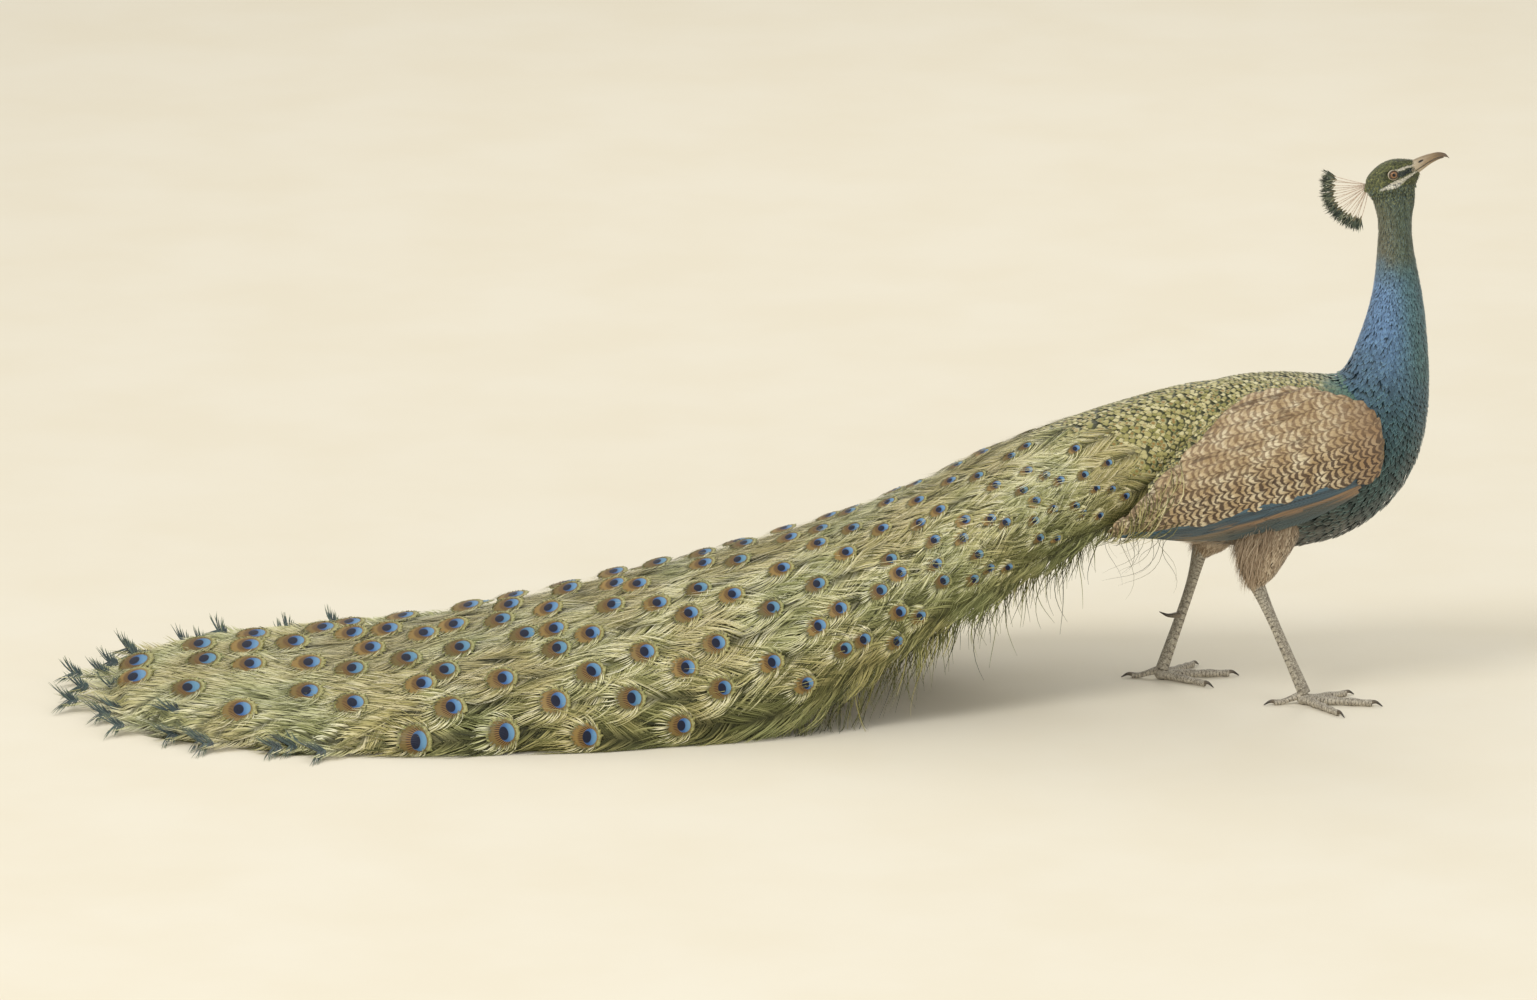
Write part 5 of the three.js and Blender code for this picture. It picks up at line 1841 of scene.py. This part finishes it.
def taper(thick, fine, power=1.0):
    return lambda s, a: thick + (fine - thick) * np.clip(s, 0, 1) ** power


for name, side in SIDES.items():
    _, _, hock, ankle = np.array(LEGS[name], float)
    path = [hock + (-3, 0, 8), hock + (ankle - hock) * 0.35, ankle + (0, 0, -4)]
    shell, values = tube(tube_surface(path, shank_girth, 0.84), 120, 24)
    finished(f"shank_{name}_skin", shell, values, shank_finish, [f"shank_{name}"])
    parts, values, tips, tip_values = [], [], [], []
    for toe, (turn, length, radius, joints) in TOES.items():
        ahead = np.array([math.cos(math.radians(side * turn)), math.sin(math.radians(side * turn)), 0])
        start = np.array([ankle[0], ankle[1], 0]) + ahead * 5
        rise, middle = (13, 8.5) if toe == "hind" else (radius * 1.15, radius * 0.98)
        rises = ((0, rise), (0.35, middle), (0.7, radius * 0.86), (1, radius * 0.72))
        path = [start + ahead * length * s + (0, 0, z) for s, z in rises]

        def swell(s, a, radius=radius, joints=joints, length=length):
            knuckle = radius * (1 - 0.3 * s) * (0.94 + 0.09 * np.cos(s * joints * 2 * math.pi))
            return knuckle * (1 + 0.03 * np.abs(np.sin(s * length / 8 * math.pi)) * np.clip(np.sin(a), 0, 1))

        shell, toe_values = tube(tube_surface(path, swell, 0.95), 60, 20, 0.0)
        parts.append(shell)
        values += [(x, along * length / LONGEST_TOE, z) for x, along, z in toe_values]
        nail, high = start + ahead * (length - 4), radius * 0.85
        path = [nail + ahead * s + (0, 0, z) for s, z in ((0, high), (9, high + 0.9), (18, 0.9))]
        shell, claw_values = tube(tube_surface(path, taper(3.4, 0.55, 1.3), 0.7), 18, 14, 0.0)
        tips.append(shell)
        tip_values += claw_values
    pad = bmesh.new()
    bmesh.ops.create_uvsphere(pad, u_segments=24, v_segments=16, radius=1.0)
    for vertex in pad.verts:
        x, y, z = vertex.co
        values.append((x, 0.5 + 0.5 * z, z))
        vertex.co = Vector(to_frame((ankle[0] + x * 10.4, ankle[1] + y * 9.9, max(7.4 + z * 8, 0))))
    nodes = [f"toe_{name}_{toe}" for toe in TOES]
    finished(f"toes_{name}_skin", joined(parts + [pad]), values, toe_finish, nodes)
    nodes = [f"claw_{name}_{toe}" for toe in TOES]
    finished(f"claws_{name}_horn", joined(tips), tip_values, claw_finish, nodes)
    root = ankle + (hock - ankle) * 0.44 + (-1, -side * 2, 0)
    inward = math.radians(68 if side < 0 else 22)
    away = np.array([-math.cos(inward), -side * math.sin(inward), 0])
    path = [root, root + away * 16.5 + (0, 0, 0.5), root + away * 30 + (0, 0, 7)]
    shell, values = tube(tube_surface(path, taper(4.6, 0.5)), 22, 16)
    finished(f"spur_{name}_horn", shell, values, claw_finish, [f"spur_{name}"])

# %% Thigh feathers
paint = Paint("thigh feathers", roughness=0.65, specular=0.25, sheen=0.3)
*_, z = paint.place()
_, along, tone = paint.vane()
buff = tone.shades((0.0, "836F57"), (0.4, "A59078"), (0.75, "C5B298"), (1.0, "DACAB0"))
buff = buff.tint("5A4A3A", z.between(205, 260), 0.5)
thigh_finish = paint.finish(paint.mix(along.between(0.4, 0.0) * 0.5, buff, "4E4030"))
wisp = feather_pattern(3, 5, tip=0.05, root=0.7)
thigh_radius = smooth_table([[48], [38], [24], [13.5]])
for name, side in SIDES.items():
    hip, knee, hock, _ = np.array(LEGS[name], float)
    path = [hip, knee, hock + (knee - hock) * 0.3, hock]
    thigh = Form(tube_surface(path, lambda s, a: thigh_radius(s)[..., 0], 0.8), 1, 1)
    rng = np.random.default_rng(91 if side < 0 else 92)
    share, angle = rows_on(thigh, 0.02, 1.14, 3.2, 2.5, *ALL_ROUND, 0.25, 93)
    keep = (share < 0.97) | (np.sin(angle) > 0.1 + 5 * (share - 0.97))
    length = rng.uniform(13, 30, len(share)) * np.interp(share, [0, 0.75, 1], [1, 0.9, 0.5])
    half, turn = length * 0.035 + 0.45, rng.normal(0, 0.25, len(share))
    coat = Coat()
    vaned(
        coat, thigh, share, angle, length, half, wisp, (-1.6, 3.4), turn, 94, keep, span=ALL_ROUND,
        band=(0.0, 0.6),
    )
    share, angle = rows_on(thigh, 0.0, 0.8, 4.2, 3.4, -3.0, -0.1, 0.4, 95)
    hairs(
        coat, thigh, share, angle, rng, 0, (20, 44), (0, 0.5), 0.42, (0.5, 2), (4, 15),
        (rng.uniform, 0, 0.8), 0.12, 30, (0.62, 0.8),
    )
    share, angle = rows_on(BODY, 0.02, 0.15, 3.5, 5.0, 1.95, 2.75, 0.4, 96)
    hairs(
        coat, BODY, share, angle * side, rng, 1, (16, 38), (-0.9, 0.5), 0.4, (1, 4), (4, 14),
        (rng.uniform, 0.1, 0.9), 0.12, 30, (0.82, 0.99),
    )
    coat.piece(f"thigh_{name}_feathers", thigh_finish, "thigh_feathers")

# %% [markdown]
# ## Floor, light and camera
# A pale floor, one broad soft light from the front left and a weaker one from the other side give calm
# shadows. The camera stands far away with a long lens, a little above the bird, and looks square at its
# right side.

# %% Stage
def floor_finish():
    paint = Paint("floor", roughness=0.9, specular=0.1)
    here, *_ = paint.place()
    cloud = here.noise(0.004, 3.0, 0.5)
    return paint.finish(cloud.shades((0.35, "ECE5D3"), (0.65, "EEE8D8")))


ground = bmesh.new()
bmesh.ops.create_grid(ground, x_segments=1, y_segments=1, size=30)
floor = as_piece("floor", ground)
floor.location.z = 0.0
floor.data.materials.append(floor_finish())

world = bpy.data.worlds.new("studio")
bpy.context.scene.world = world
world.use_nodes = True
world.node_tree.nodes["Background"].inputs["Color"].default_value = (1.0, 0.97, 0.9, 1)
world.node_tree.nodes["Background"].inputs["Strength"].default_value = 0.72


def soft_light(name, place, target, size, power, tint=(1.0, 0.98, 0.94)):
    lamp = bpy.data.lights.new(name, "AREA")
    lamp.shape, lamp.size, lamp.energy, lamp.color = "DISK", size, power, tint
    light = bpy.data.objects.new(name, lamp)
    bpy.context.scene.collection.objects.link(light)
    light.location = Vector(place)
    light.rotation_euler = (Vector(target) - Vector(place)).to_track_quat("-Z", "Y").to_euler()
    return light


soft_light("key", (-3.2, -4.4, 6.4), (0, 0, 0.2), 3.0, 235)
soft_light("fill", (3.6, -2.4, 2.6), (0.2, 0, 0.3), 2.6, 22, (0.94, 0.97, 1.0))
soft_light("back", (0.8, 3.6, 3.4), (0, 0, 0.3), 2.0, 26)
bpy.context.scene.view_settings.view_transform = "Standard"

AIM = Vector(to_frame((-710, 0, 265.6)))
CAMERA_AWAY, VIEW_WIDTH, RAISED = 20.0, 2.053, math.radians(15)
lens = bpy.data.cameras.new("camera")
lens.sensor_width, lens.lens = 36, 36 * CAMERA_AWAY / VIEW_WIDTH
lens.clip_end = 100
camera = bpy.data.objects.new("camera", lens)
bpy.context.scene.collection.objects.link(camera)
camera.location = AIM + CAMERA_AWAY * Vector((0, -math.cos(RAISED), math.sin(RAISED)))
camera.rotation_euler = (math.pi / 2 - RAISED, 0, 0)
bpy.context.scene.camera = camera
print("camera at", [round(v, 3) for v in camera.location])
